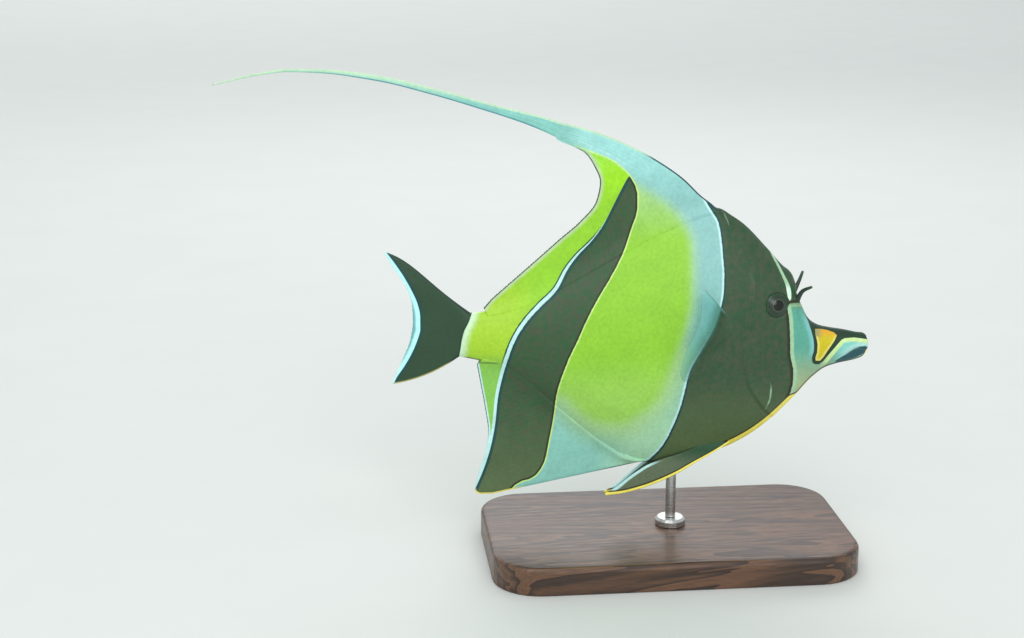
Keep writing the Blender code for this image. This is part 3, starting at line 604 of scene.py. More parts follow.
def fan(root, edge, bulge, inside, rows, late=0.0):
    """Side-view points root + (edge - root) * u; the fan starts this far inside the flesh.

    Each ray bends by bulge * 4u(1 - u) + late * 9.48u^3(1 - u).  Gives the grid, the
    shares u, and the distance from the root in mm.
    """
    ray = edge - root
    length = np.linalg.norm(ray, axis=-1)
    normal = np.stack([-ray[:, 1], ray[:, 0]], -1) / length[:, None]
    start = -inside / length
    u = start + (1 - start) * np.linspace(0, 1, rows)[:, None]
    out = np.clip(u, 0, 1)
    bend = bulge * 4 * out * (1 - out) + late * 9.48 * out**3 * (1 - out)
    grid = root + ray * u[..., None] - normal * bend[..., None]
    return grid, u, u * length


def rounded(distance, width):
    """Share of a sheet's thickness near its rim: a quarter circle that is full at this width."""
    share = 1 - np.clip(distance / width, 0, 1)
    return np.sqrt(1 - share**2)


def fin_half(out):
    """Half thickness in mm at a distance from the root.

    It is 0.46 + 0.8 * ln(1 + exp((1.1 - distance / 2) / 0.8)).
    """
    return 0.46 + 0.8 * np.log1p(np.exp((1.1 - np.clip(out, -1.5, None) / 2) / 0.8))


def upright_half(u, out, ridge, ray_height, trailing, leading, lead_width):
    """Half thickness of an upright fin, rounded off at both its rims, with its rays raised."""
    half = fin_half(out)
    half = half * (0.14 + 0.86 * rounded(trailing, 2.4)) * (0.1 + 0.9 * rounded(leading, lead_width))
    return half + ray_height * (1 - 0.4 * u) * ridge * rounded(trailing, 1.5) * ease(0, 2, out) - HAIR


def scalloped(root, edge, ridge, depth):
    """Edge points drawn in a little between the rays."""
    ray = edge - root
    unit = ray / np.linalg.norm(ray, axis=-1, keepdims=True)
    return edge - unit * (depth * (1 - ridge))[:, None]


def dorsal_surface(ray_height, sway):
    """Middle points, half thickness, faces and marks of the dorsal fin and its streamer.

    The fin is a fan of rays.  The grid goes on over its first spines as the streamer:
    centre(s) + up(s) * height(s) * w, where w goes from 1 to -1 across it.
    """
    spines = DORSAL_SPINES
    phase = np.linspace(0, spines + DORSAL_RAYS, (spines + DORSAL_RAYS) * 6 + 1)
    v = np.interp(phase, [0, spines, spines + DORSAL_RAYS], [0, 0.13, 1])
    root_x = np.interp(v, *np.array(DORSAL_ROOT).T)
    root = np.stack([root_x, back(root_x) + 0.4], -1)
    corner = reach_along(np.array(DORSAL_EDGE))[0][1]
    edge = along(DORSAL_EDGE)(np.interp(v, [0, 0.13, 1], [0, corner, 1]))
    soft = ease(spines - 0.5, spines + 3, phase)
    edge = scalloped(root, edge, ray_ridge(phase, 1.0), 0.35 * soft)
    bulge = DORSAL_BULGE * np.clip(1 - v / 0.62, 0, 1) ** 1.3
    rows = 97
    grid, u, out = fan(root, edge, bulge, ROOT_SUNK, rows)
    grid[..., 1] -= 1.1 * hump(out - 9, 6) * ease(0.2, 0, v)
    wave = sway * np.sin(2 * math.pi * (1.6 * v + 0.2)) * ease(0.16, 0.36, v) * np.clip(u, 0, 1) ** 2
    fin = np.stack([grid[..., 0], wave, grid[..., 1]], -1)
    trailing = np.abs(beside(grid[..., 0], grid[..., 1], DORSAL_EDGE[1:], 90))
    leading = np.abs(beside(grid[..., 0], grid[..., 1], grid[::6, 0], 40))
    ridge = ray_ridge(phase, u, 0.45)
    half = upright_half(u, out, ridge, ray_height, trailing, leading, 1.5)

    wide = spines * 6 + 1
    line = np.array([np.append((grid[-1, 0] + grid[-1, wide - 1]) / 2, 3.2)] + STREAMER[1:])
    shares, length = reach_along(line[:, :2])
    centre = along(line[:, :2])
    height = smooth(np.column_stack([shares, line[:, 2]]))
    s = (np.linspace(0, 1, 141)[1:]) ** 1.15
    w = np.linspace(1, -1, wide)
    middle = centre(s)
    ahead = centre(np.clip(s + 0.01, 0, 1)) - centre(np.clip(s - 0.01, 0, 1))
    ahead /= np.linalg.norm(ahead, axis=-1, keepdims=True)
    up = np.stack([ahead[:, 1], -ahead[:, 0]], -1)
    tall = height(s)
    flow = middle[:, None] + up[:, None] * (tall[:, None] * w)[..., None]
    aside = np.repeat((STREAMER_SWAY * s * s)[:, None], wide, 1)
    ribbon = np.stack([flow[..., 0], aside, flow[..., 1]], -1)
    thick = (0.66 - 0.42 * s[:, None]) * np.sqrt(np.clip(1.01 - w**2, 0, 1))
    blend = ease(0, 9, s * length)[:, None]
    ribbon_half = half[-1, :wide] * (1 - blend) + thick * blend
    ribbon_half = ribbon_half + 0.05 * np.cos(w * 9) * (1 - s[:, None]) * np.clip(1 - w**2, 0, 1)

    columns = len(phase)
    faces = grid_faces(rows, columns)
    tail = grid_faces(len(s) + 1, wide)
    top_row = (rows - 1) * columns + np.arange(wide)
    above = np.concatenate([top_row, rows * columns + np.arange(len(s) * wide)])
    faces = np.concatenate([faces, above[tail]])
    points = np.concatenate([fin.reshape(-1, 3), ribbon.reshape(-1, 3)])
    halves = np.concatenate([half.ravel(), ribbon_half.ravel()])
    rim = np.concatenate([trailing.ravel(), np.full(ribbon_half.size, 30.0)])
    lead = np.concatenate([leading.ravel(), ((1 - w) * tall[:, None]).ravel()])
    extra = {
        "rim": rim,
        "lead": lead,
        "ray": np.concatenate([ridge.ravel(), np.tile(ray_ridge(phase[:wide], 0.0), len(s))]),
        "under": np.concatenate([np.full(half.size, 30.0), ((1 + w) * tall[:, None]).ravel()]),
        "streamer": np.concatenate([np.zeros(half.size), np.repeat(s, wide)]),
    }
    return points, np.clip(halves, THINNEST, None), faces, extra


SIDEWAYS = np.array([0.0, 1.0, 0.0])
FIN_MARKS = BAND_EDGES + ["yellow"]


def make_dorsal_fin(sizes, tones):
    middle, half, faces, extra = dorsal_surface(sizes.ray_height / MM, sizes.fin_wave / MM)
    points, faces = shell(middle, half, SIDEWAYS, faces)
    marks = {**marks_on(points, FIN_MARKS + ["silk_streaks"]), **both_skins(extra)}
    fin = new_piece("dorsal_fin", points, faces, marks)
    nodes = ["dorsal_fin_front", "dorsal_fin_rear", "streamer_root", "streamer_middle", "streamer_tip"]
    dress(fin, dorsal_finish(tones), "fin", *nodes)


def make_anal_fin(sizes, tones):
    """The anal fin: a fan of rays from the belly's keel."""
    ray_height = sizes.ray_height / MM
    phase = np.linspace(0, ANAL_RAYS, ANAL_RAYS * 6 + 1)
    v = phase / ANAL_RAYS
    root_x = ANAL_ROOT[0] + (ANAL_ROOT[1] - ANAL_ROOT[0]) * v
    root = np.stack([root_x, belly(root_x) - 0.4], -1)
    corner = reach_along(np.array(ANAL_EDGE))[0][2]
    edge = along(ANAL_EDGE)(np.interp(v, [0, 0.14, 1], [0, corner, 1]))
    edge = scalloped(root, edge, ray_ridge(phase, 1.0), 0.3 * ease(3, 6, phase))
    rows = 85
    grid, u, out = fan(root, edge, 1.6 * v * (1 - v), ROOT_SUNK, rows)
    wave = sizes.fin_wave / MM * np.sin(2 * math.pi * (1.4 * v + 0.1))
    wave = wave * ease(0.1, 0.35, v) * np.clip(u, 0, 1) ** 2
    trailing = np.abs(beside(grid[..., 0], grid[..., 1], ANAL_EDGE, 80))
    leading = np.abs(beside(grid[..., 0], grid[..., 1], grid[::6, 0], 40))
    ridge = ray_ridge(phase, u, 0.45)
    half = upright_half(u, out, ridge, ray_height, trailing, leading, 1.6)
    middle = np.stack([grid[..., 0], wave, grid[..., 1]], -1).reshape(-1, 3)
    extra = {"rim": trailing.ravel(), "lead": leading.ravel(), "ray": ridge.ravel()}
    half = np.clip(half, THINNEST, None).ravel()
    points, faces = shell(middle, half, SIDEWAYS, grid_faces(rows, len(phase)))
    marks = {**marks_on(points, FIN_MARKS + ["stalk_shadow_stroke"]), **both_skins(extra)}
    fin = new_piece("anal_fin_rays", points, faces, marks)
    dress(fin, anal_finish(tones), "yellow_fin", "anal_fin")


def make_tail_fin(sizes, tones):
    """The tail fin: a fan from the stalk's end, fleshy at its root, with rays that part twice."""
    ray_height = sizes.ray_height / MM
    phase = np.linspace(0, TAIL_RAYS, TAIL_RAYS * 10 + 1)
    v = phase / TAIL_RAYS
    top, low = np.array(TAIL_ROOT)
    root = top + (low - top) * v[:, None]
    edge = along(TAIL_EDGE)(v)
    depth = 0.15 * ease(0, 1.5, phase) * ease(16, 14.5, phase)
    edge = scalloped(root, edge, ray_ridge(phase, 1.0), depth)
    bulge, late = np.interp(v, [0.6, 1], [0, -1.9]), np.interp(v, [0, 0.3], [1.8, 0])
    rows = 85
    grid, u, out = fan(root, edge, bulge, TAIL_SUNK, rows, late)
    curl = 1.1 * (v - 0.5) ** 2 * 4 * np.clip(u, 0, 1) ** 2 - 0.3 * np.clip(u, 0, 1)
    ripple = 0.35 * np.sin(2 * math.pi * (2.1 * v + 0.3)) * np.clip(u, 0, 1) ** 2
    trailing = np.abs(beside(grid[..., 0], grid[..., 1], TAIL_EDGE, 80))
    sides = np.minimum(
        np.abs(beside(grid[..., 0], grid[..., 1], grid[::6, 0], 40)),
        np.abs(beside(grid[..., 0], grid[..., 1], grid[::6, -1], 40)),
    )
    finer = 0.7 * ray_ridge(2 * phase + 0.5, u, 0.75) * ease(0.5, 0.8, u)
    ridge = np.maximum(ray_ridge(phase, u, 0.3), finer)
    fleshy = 2.2 * np.sqrt(np.clip(1 - (2 * v - 1) ** 2, 0, 1)) * np.clip(1 - u / 0.36, 0, 1) ** 2
    half = 0.82 - 0.42 * np.clip(u, 0, 1) + np.minimum(fleshy, 2.2)
    half = half * (0.14 + 0.86 * rounded(trailing, 3.0)) * (0.12 + 0.88 * rounded(sides, 1.5))
    half = half + 1.3 * ray_height * ridge * rounded(trailing, 2.0) * ease(3, 9, out) - HAIR
    middle = np.stack([grid[..., 0], curl + ripple, grid[..., 1]], -1).reshape(-1, 3)
    extra = {"rim": trailing.ravel(), "side": sides.ravel(), "ray": ridge.ravel()}
    half = np.clip(half, THINNEST, None).ravel()
    points, faces = shell(middle, half, SIDEWAYS, grid_faces(rows, len(phase)))
    marks = {**marks_on(points, ["tail_line", "tail_margin"]), **both_skins(extra)}
    fin = new_piece("tail_fin", points, faces, marks)
    dress(fin, tail_finish(tones), "black_fin", "tail_fin_upper", "tail_fin_lower")


def make_pectoral_fins(sizes, tones):
    """The breast fins: rays fanned from a short root on each flank, cupped by u squared."""
    finish = clear_fin_finish(tones)
    swing = math.radians(PECTORAL_SWING)
    x, y, z = PECTORAL_ROOT
    for word, side in (("right", -1), ("left", 1)):
        rearward = np.array([-math.cos(swing), side * math.sin(swing), 0.0])
        upward = np.array([0.12, 0.0, 1.0]) / math.hypot(0.12, 1.0)
        outward = np.cross(rearward, upward)
        phase = np.linspace(0, PECTORAL_RAYS, PECTORAL_RAYS * 8 + 1)
        v = phase / PECTORAL_RAYS
        rows = 60
        u = np.linspace(-0.06, 1, rows)[:, None]
        angle = np.radians(np.interp(v, [0, 1], PECTORAL_FAN))
        length = smooth(PECTORAL_REACH)(v) - 0.35 * (1 - ray_ridge(phase, 1.0))
        start = np.array([x, side * y, z]) + upward * (PECTORAL_ROOT_HEIGHT * (0.5 - v))[:, None]
        ray = rearward * np.cos(angle)[:, None] + upward * np.sin(angle)[:, None]
        wave = 0.4 * np.sin(2 * math.pi * (1.3 * v + 0.2)) * np.clip(u, 0, 1) ** 2
        cup = 2.2 * side * np.clip(u, 0, 1) ** 2 + side * wave
        middle = start + ray * (length * u)[..., None] - outward * cup[..., None]
        ridge = ray_ridge(phase, u, 0.4)
        half = np.interp(u, [0, 0.2, 1], [1.0, 0.42, 0.2]) * (1 + 0 * v)
        half = half + 1.5 * sizes.ray_height / MM * ridge * ease(0.04, 0.2, u)
        rim = np.minimum((1 - u) * length, np.minimum(v, 1 - v) * 30 * np.clip(u, 0.2, 1))
        half = half * (0.25 + 0.75 * rounded(rim, 1.4))
        flat_points = middle.reshape(-1, 3)
        extra = {
            "ray": ridge.ravel(),
            "lead": (v * 26 * np.clip(u, 0.2, 1)).ravel(),
            "out": (u + 0 * v).ravel(),
        }
        points, faces = shell(flat_points, half.ravel(), outward, grid_faces(rows, len(v)))
        marks = {**marks_on(points, ["front_band_rear"]), **both_skins(extra)}
        fin = new_piece(f"pectoral_{word}", points, faces, marks)
        dress(fin, finish, "fin", f"pectoral_fin_{word}")


def make_pelvic_fins(sizes, tones):
    """The belly fins: points low(u) * (1 - v) + high(u) * v between a spine and a rear edge."""
    finish = pelvic_finish(tones)
    ray_height = sizes.ray_height / MM
    low, high = along(PELVIC_SPINE), along(PELVIC_REAR)
    phase = np.linspace(0, 6, 61)
    v = phase / 6
    rows = 120
    u = np.linspace(0, 1, rows)[:, None]
    out = smooth(PELVIC_OUT)(u)
    place = low(u[:, 0])[:, None] * (1 - v)[:, None] + high(u[:, 0])[:, None] * v[:, None]
    ridge = ray_ridge(phase, u, 0.6)
    tall = np.linalg.norm(high(u[:, 0]) - low(u[:, 0]), axis=-1)[:, None]
    spine = hump(v * tall - 0.5, 0.6)
    half = 0.42 - 0.2 * u + ray_height * ridge + 0.2 * spine * (1 - 0.6 * u)
    rim = np.minimum(v, 1 - v) * tall
    half = half * (0.2 + 0.8 * rounded(rim, 0.8)) * rounded((1.012 - u) * 60, 3.0)
    for word, side in (("right", -1), ("left", 1)):
        y = side * (out + PELVIC_SPREAD * (1 - v) * u)
        middle = np.stack([place[..., 0], y + 0 * v, place[..., 1]], -1).reshape(-1, 3)
        extra = {
            "ray": ridge.ravel(),
            "from_spine": (v * tall).ravel(),
            "from_rear": ((1 - v) * tall).ravel(),
            "out": (u + 0 * v).ravel(),
        }
        points, faces = shell(middle, half.ravel(), SIDEWAYS, grid_faces(rows, len(v)))
        fin = new_piece(f"pelvic_{word}", points, faces, both_skins(extra))
        dress(fin, finish, "black_fin", f"pelvic_fin_{word}")


def surface_normal(x, z, side):
    """Outward direction of the flank at a place on its side, from its slopes along x and z."""
    slope_x = flank(x + 0.5, z) - flank(x - 0.5, z)
    slope_z = flank(x, z + 0.5) - flank(x, z - 0.5)
    normal = np.array([-slope_x, side, -slope_z])
    return normal / np.linalg.norm(normal)


def make_eyes(sizes, tones):
    """Each eye is an ellipsoid with a clear dome.

    Its points are centre + axis * depth * cos(a) + spread * radius * sin(a).
    """
    finish = eye_finish(tones)
    dome_height = sizes.eye_dome / MM
    for word, side in (("right", -1), ("left", 1)):
        x, z = EYE_CENTRE
        axis = surface_normal(x, z, side)
        centre = np.array([x, side * flank(x, z), z]) - axis * EYE_SUNK
        first = np.cross(axis, (0, 0, 1))
        first /= np.linalg.norm(first)
        second = np.cross(axis, first)
        polar = np.linspace(0, math.pi, 49)[1:-1, None]
        turn = np.linspace(0, 2 * math.pi, 97)[:-1]
        dome = dome_height * ease(0.75, 0.2, polar)
        spread = np.cos(turn)[:, None] * first + np.sin(turn)[:, None] * second
        depth = EYE_DEPTH - EYE_SHY
        rise = depth * np.cos(polar) + dome * (polar < 1.6)
        rings = centre + axis * (rise + 0 * turn)[..., None]
        rings = rings + spread * ((EYE_RADIUS - EYE_INSET) * np.sin(polar))[..., None]
        rows, around = rings.shape[:2]
        poles = np.array([centre + axis * (depth + dome_height), centre - axis * depth])
        points = np.concatenate([rings.reshape(-1, 3), poles])
        offset = points - centre
        across, upright = offset @ first, offset @ second
        marks = {"from_middle": np.hypot(across, upright), "across": across, "upright": upright}
        eye = new_piece(f"eye_{word}_glossy", points, pole_faces(rows, around), marks)
        dress(eye, finish, "eye", f"eye_{word}")


def make_horns(sizes, tones):
    """Each horn is a round profile along a bent path.

    Its radius falls with s^0.8 and is lifted by growth rings.
    """
    finish = horn_finish(tones)
    for word, path in (("right", HORN_RIGHT), ("left", HORN_LEFT)):
        s = np.linspace(-0.12, 1, 90)
        inwards = 2 * (np.array(path[1]) - np.array(path[0]))
        line = along(path)(np.clip(s, 0, 1)) + np.clip(s, None, 0)[:, None] * inwards
        ahead = np.gradient(line, axis=0)
        ahead /= np.linalg.norm(ahead, axis=-1, keepdims=True)
        first = np.cross(ahead, (0.0, 1.0, 0.0))
        first /= np.linalg.norm(first, axis=-1, keepdims=True)
        second = np.cross(ahead, first)
        inside = np.clip(s, 0, 1)
        radius = HORN_ROOT_RADIUS - HORN_TAPER * inside**0.8
        rings = np.sin(2 * math.pi * HORN_RINGS * inside) * (1 - inside)
        radius = radius + sizes.growth_ring / MM * rings
        radius = radius * rounded((1.003 - s) * 14, 0.5)
        turn = np.linspace(0, 2 * math.pi, 41)[:-1]
        flat = HORN_FLATNESS * np.sin(turn)[:, None] * second[:, None]
        spread = np.cos(turn)[:, None] * first[:, None] + flat
        rings = line[:, None] + spread * radius[:, None, None]
        rows, around = rings.shape[:2]
        points = np.concatenate([rings.reshape(-1, 3), line[[0, -1]]])
        faces = [face[::-1] for face in pole_faces(rows, around)]
        marks = {"out": np.append(np.repeat(s, around), [0.0, 1.0])}
        horn = new_piece(f"horn_{word}_bone", points, faces, marks)
        dress(horn, finish, "horn", f"horn_{word}")


def add(tree, kind, inputs=None, output=0, **settings):
    """Adds a node, sets it, fills its sockets with links or values, and gives one of its outputs."""
    node = tree.nodes.new("ShaderNode" + kind)
    for name, value in settings.items():
        setattr(node, name, value)
    for key, value in (inputs or {}).items():
        if isinstance(value, bpy.types.NodeSocket):
            tree.links.new(value, node.inputs[key])
        else:
            node.inputs[key].default_value = value
    return node.outputs[output]


def new_finish(name):
    """A material with one Principled shader; gives both, the node tree and the Object coordinates."""
    material = bpy.data.materials.new(name)
    material.use_nodes = True
    tree = material.node_tree
    return material, tree.nodes["Principled BSDF"], tree, add(tree, "TexCoord", output="Object")


def surface(tree, shader, links, **values):
    """Links sockets to the shader, and sets its constant values, named with _ for each space."""
    for name, socket in links.items():
        tree.links.new(socket, shader.inputs[name])
    for name, value in values.items():
        shader.inputs[name.replace("_", " ")].default_value = value


def paint(tree, ground, layers, fray=None):
    """Lays colours over the ground: each one where all its (mark, none at, full at) conditions hold.

    The fray, a small noise in mm, is added to the marks that it names.
    """
    sockets = {}
    colour = ground
    for tone, conditions in layers:
        weight = None
        for mark, none_at, full_at in conditions:
            if mark not in sockets:
                value = add(tree, "Attribute", output="Fac", attribute_name=mark)
                if fray and mark in fray[1]:
                    value = add(tree, "Math", {0: value, 1: fray[0]}, operation="ADD")
                sockets[mark] = value
            share = add(
                tree,
                "MapRange",
                {"Value": sockets[mark], "From Min": none_at, "From Max": full_at},
                interpolation_type="SMOOTHSTEP",
            )
            if weight is not None:
                share = add(tree, "Math", {0: weight, 1: share}, operation="MULTIPLY")
            weight = share
        tone = tone if isinstance(tone, bpy.types.NodeSocket) else (*tone, 1.0)
        colour = add(tree, "Mix", {0: weight, 6: colour, 7: tone}, output=2, data_type="RGBA")
    return colour


def mottled(tree, colour, size_mm, amount, place):
    """Lightens and darkens a colour softly in patches of this size."""
    patches = {"Vector": place, "Scale": 1000 / size_mm, "Detail": 3.0}
    noise = add(tree, "TexNoise", patches, output="Fac")
    strength = {"Value": noise, "From Min": 0.3, "From Max": 0.7}
    strength |= {"To Min": 1 - amount, "To Max": 1 + amount}
    factor = add(tree, "MapRange", strength)
    return add(tree, "HueSaturation", {"Value": factor, "Color": colour})


def two_tones(tree, place, first, second, size_mm):
    """Patches of this size in two colours that run into each other."""
    patches = {"Vector": place, "Scale": 1000 / size_mm, "Detail": 5.0}
    noise = add(tree, "TexNoise", patches, output="Fac")
    share = add(tree, "MapRange", {"Value": noise, "From Min": 0.36, "From Max": 0.68})
    colours = {0: share, 6: (*first, 1.0), 7: (*second, 1.0)}
    return add(tree, "Mix", colours, output=2, data_type="RGBA")


def flank_layers(tones, tree, place, under_bands=()):
    """Colours that the skin and the upright fins share, from the ground up."""
    front_band = two_tones(tree, place, tones.front_band, tones.brown_band, 2.4)
    rear_band = two_tones(tree, place, tones.rear_band, tones.brown_band, 2.4)
    behind = [("rear_band_rear", 0.1, -0.1), ("rear_band_front", -0.1, 0.1)]
    rear_line = [("rear_line", 0.05, -0.1), ("rear_line", -0.75, -0.45)]
    front = [("front_band_rear", -0.12, 0.12), ("front_band_front", -0.12, 0.12)]
    rear = [("rear_band_rear", -0.12, 0.12), ("rear_band_front", -0.12, 0.12)]
    hairlines = [
        (shade, [(mark, -0.1, 0.15), (mark, *fade), (other, 0.0, 0.4)])
        for shade, mark, fade, other in (
            (tones.cool_hairline, "rear_band_rear", (1.6, 0.8), "rear_band_front"),
            (tones.warm_hairline, "rear_band_front", (1.1, 0.5), "rear_band_rear"),
            (tones.cool_hairline, "front_band_rear", (1.2, 0.5), "front_band_front"),
            (tones.warm_hairline, "front_band_front", (1.6, 0.8), "front_band_rear"),
        )
    ]
    return [
        (tones.low_pale, [("height", 132, 88)]),
        (tones.belly_pale, [("height", 72, 50)]),
        (tones.light_belly, [("height", 74, 52), ("length", -36, -10)]),
        (tones.yellow_haze, [("haze", 0.0, 1.0)]),
        (tones.top_yellow, [("yellow", 0.0, 1.0)]),
        (tones.yellow, [("yellow", 0.4, 1.0), ("height", 160, 136)]),
        (tones.low_yellow, [("yellow", 0.3, 1.0), ("height", 92, 66)]),
        (tones.rear_yellow, behind),
        (tones.bright_yellow, behind + [("height", 150, 168)]),
        (tones.stalk_yellow, behind + [("length", -52, -70), ("height", 132, 112)]),
        (tones.anal_yellow, behind + [("height", 92, 84)]),
        (tones.bright_line, behind + [("rear_line", -0.12, 0.12)]),
        (tones.dark_line, behind + rear_line + [("height", 82, 92), ("height", 146, 138)]),
        (tones.bright_line, [("front_band_rear", 0.1, -0.1), ("front_band_rear", -1.2, -0.6)]),
        (tones.yellow_line, [("rear_band_front", 0.1, -0.1), ("rear_band_front", -0.85, -0.4)]),
        *under_bands,
        (front_band, front),
        (rear_band, rear),
        (tones.low_band, front + [("height", 84, 46)]),
        (tones.low_band, rear + [("height", 74, 26)]),
        *hairlines,
    ]


def skin_finish(sizes, tones):
    """Scaled fish skin under a thin wet-looking varnish: fine grain, satin gloss."""
    material, shader, tree, place = new_finish("scaled_fish_skin")
    # The scales along a band's edge make it stray a little to both sides.
    scale = sizes.scale_width
    stray = sizes.band_fray / MM
    fine = add(tree, "TexNoise", {"Vector": place, "Scale": 0.7 / scale, "Detail": 1.0}, output="Fac")
    reach = {"Value": fine, "From Min": 0.25, "From Max": 0.75, "To Min": -stray, "To Max": stray}
    fray = add(tree, "MapRange", reach)
    face = ("front_band_front", 0.12, -0.12)
    saddle = ("saddle", -0.12, 0.15)
    face_layers = [
        (tones.cheek, [face]),
        (tones.low_cheek, [face, ("height", 92, 72)]),
        (tones.cheek_top, [face, ("height", 106.0, 109.0)]),
        (
            tones.cheek_edge,
            [face, ("snout_black", -2.6, -0.6), ("height", 106, 101), ("height", 83, 88)],
        ),
        (tones.lip_blue, [face, ("length", 70, 76)]),
        (tones.lip_light, [face, ("length", 72, 78), ("jaw_patch", -3.0, -0.8)]),
        (tones.lip_pale, [face, ("length", 64.5, 70), ("snout_black", -2.2, -1.3)]),
        (tones.cheek_line, [face, ("front_band_front", -2.0, -1.2), ("height", 110, 107)]),
        (tones.jaw_patch, [("jaw_patch", -0.2, 0.3)]),
        (tones.lip_pale, [("chin_rim", -0.2, 0.3)]),
        (tones.snout_black, [("snout_black", -0.15, 0.15), face]),
        (tones.saddle, [saddle]),
        (tones.saddle_top, [saddle, ("height", 93.0, 97.0)]),
        (tones.saddle_corner, [saddle, ("length", 66.5, 64.0), ("height", 91.5, 95.5)]),
        (tones.saddle_edge, [("saddle", -0.1, 0.1), ("saddle", 1.3, 0.5), ("height", 95.5, 93.5)]),
    ]
    layers = flank_layers(tones, tree, place, face_layers) + [
        (tones.shoulder_line, [("shoulder_strokes", -0.25, 0.2)]),
        (tones.brow_line, [("brow_stroke", -0.12, 0.15)]),
        (tones.brow_end, [("brow_stroke", -0.1, 0.2), ("height", 119, 115)]),
        (tones.cheek_arc, [("cheek_stroke", -0.2, 0.3)]),
        # Painted shadow under the tail stalk.
        (tones.painted_stalk_shadow, [("stalk_shadow_stroke", -0.3, 0.3)]),
        # The throat's lower edge: a painted warm reflection from below, with a brownish edge inside it.
        (tones.warm_hairline, [("keel_line", -0.9, -0.4)]),
        (tones.painted_warm_reflection, [("keel_line", -0.2, 0.2)]),
        (tones.tail_fringe, [("tail_line", -4.4, -0.3)]),
        (tones.tail_black, [("tail_line", -0.15, 0.15)]),
    ]
    colour = paint(tree, (*tones.pale, 1.0), layers, (fray, BAND_EDGES))
    colour = mottled(tree, colour, 9.0, 0.04, place)
    colour = mottled(tree, colour, 1.4, 0.07, place)
    # The scales stand hardly proud and catch the light as a fine grain.
    cells = add(tree, "TexVoronoi", {"Vector": place, "Scale": 1 / scale}, output="Distance")
    bump = add(tree, "Bump", {"Height": cells, "Strength": 0.35, "Distance": sizes.scale_rise})
    shine = {"Value": fine, "From Min": 0.2, "From Max": 0.8, "To Min": 0.42, "To Max": 0.55}
    gloss = add(tree, "MapRange", shine)
    links = {"Base Color": colour, "Roughness": gloss, "Normal": bump}
    surface(tree, shader, links, IOR=SKIN_IOR, Coat_Weight=0.08, Coat_Roughness=0.25)
    return material


def fin_sheen(tree, shader, colour, place, ray_tone, ray_amount):
    """Rays a little off the membrane's colour, cross-jointed every 0.8 mm, satin gloss."""
    ray = add(tree, "Attribute", output="Fac", attribute_name="ray")
    share = add(tree, "Math", {0: ray, 1: ray_amount}, operation="MULTIPLY")
    colour = add(tree, "Mix", {0: share, 6: colour, 7: (*ray_tone, 1.0)}, output=2, data_type="RGBA")
    colour = mottled(tree, colour, 7.0, 0.05, place)
    colour = mottled(tree, colour, 1.4, 0.07, place)
    joints = add(tree, "TexNoise", {"Vector": place, "Scale": 1000 / 0.8, "Detail": 2.0}, output="Fac")
    bump = add(tree, "Bump", {"Height": joints, "Strength": 0.25, "Distance": 0.00005})
    gloss = add(tree, "MapRange", {"Value": joints, "To Min": 0.42, "To Max": 0.56})
    links = {"Base Color": colour, "Roughness": gloss, "Normal": bump}
    surface(tree, shader, links, IOR=SKIN_IOR, Coat_Weight=0.06, Coat_Roughness=0.3)


def dorsal_finish(tones):
    """Scaled fin membrane, opaque at its root, pale and silky along the streamer."""
    material, shader, tree, place = new_finish("dorsal_fin_membrane")
    rear = ("rear_band_front", 0.0, 0.3)
    layers = [(tones.pale, [("height", 176, 150)])] + flank_layers(tones, tree, place) + [
        (tones.rim_pale, [("rim", 2.2, 1.0), rear, ("rear_band_rear", -0.4, -1.2)]),
        (tones.rim_dark, [("rim", 0.7, 0.35), rear]),
        (tones.cool_hairline, [("lead", 0.75, 0.4), ("length", -14, -8)]),
        (tones.streamer, [("length", -34, -46), ("height", 170, 178)]),
        (tones.silk, [("ray", 0.7, 1.0), ("height", 164, 178)]),
        (tones.silk, [("silk_streaks", -0.3, 0.3)]),
        (tones.streamer_thin, [("streamer", 0.2, 0.55)]),
        (tones.streamer_under, [("under", 0.8, 0.3), ("streamer", 0.0, 0.08), ("streamer", 0.9, 0.5)]),
        # Painted highlight along the streamer's upper edge.
        (tones.streamer_highlight, [("lead", 1.0, 0.4), ("length", -8, -16)]),
    ]
    colour = paint(tree, (*tones.streamer_root, 1.0), layers)
    fin_sheen(tree, shader, colour, place, tones.ray_pale, 0.008)
    return material


def anal_finish(tones):
    """Scaled fin membrane with a blue-white belly side, a dark band and a narrow yellow rear strip."""
    material, shader, tree, place = new_finish("anal_fin_membrane")
    layers = flank_layers(tones, tree, place) + [
        (tones.bright_line, [("rim", 1.3, 0.8), ("rear_band_rear", 0.0, -0.3)]),
        (tones.rim_dark, [("rim", 0.55, 0.3), ("rear_band_rear", 0.0, -0.3), ("height", 50, 62)]),
        # Painted shadow that the tail stalk casts on the anal fin.
        (tones.painted_stalk_shadow, [("stalk_shadow_stroke", -0.3, 0.3)]),
        # A painted shadow: a dark hairline along the anal fin's leading edge, under the belly.
        (tones.cool_hairline, [("lead", 0.6, 0.3), ("length", -34, -22)]),
        # Painted warm reflection from below on the anal fin's lowest edges.
        (tones.painted_warm_reflection, [("lead", 0.8, 0.45), ("length", -60, -68)]),
        (tones.painted_warm_reflection, [("rim", 0.8, 0.45), ("height", 32, 30)]),
    ]
    colour = paint(tree, (*tones.pale, 1.0), layers)
    fin_sheen(tree, shader, colour, place, tones.ray_pale, 0.008)
    return material


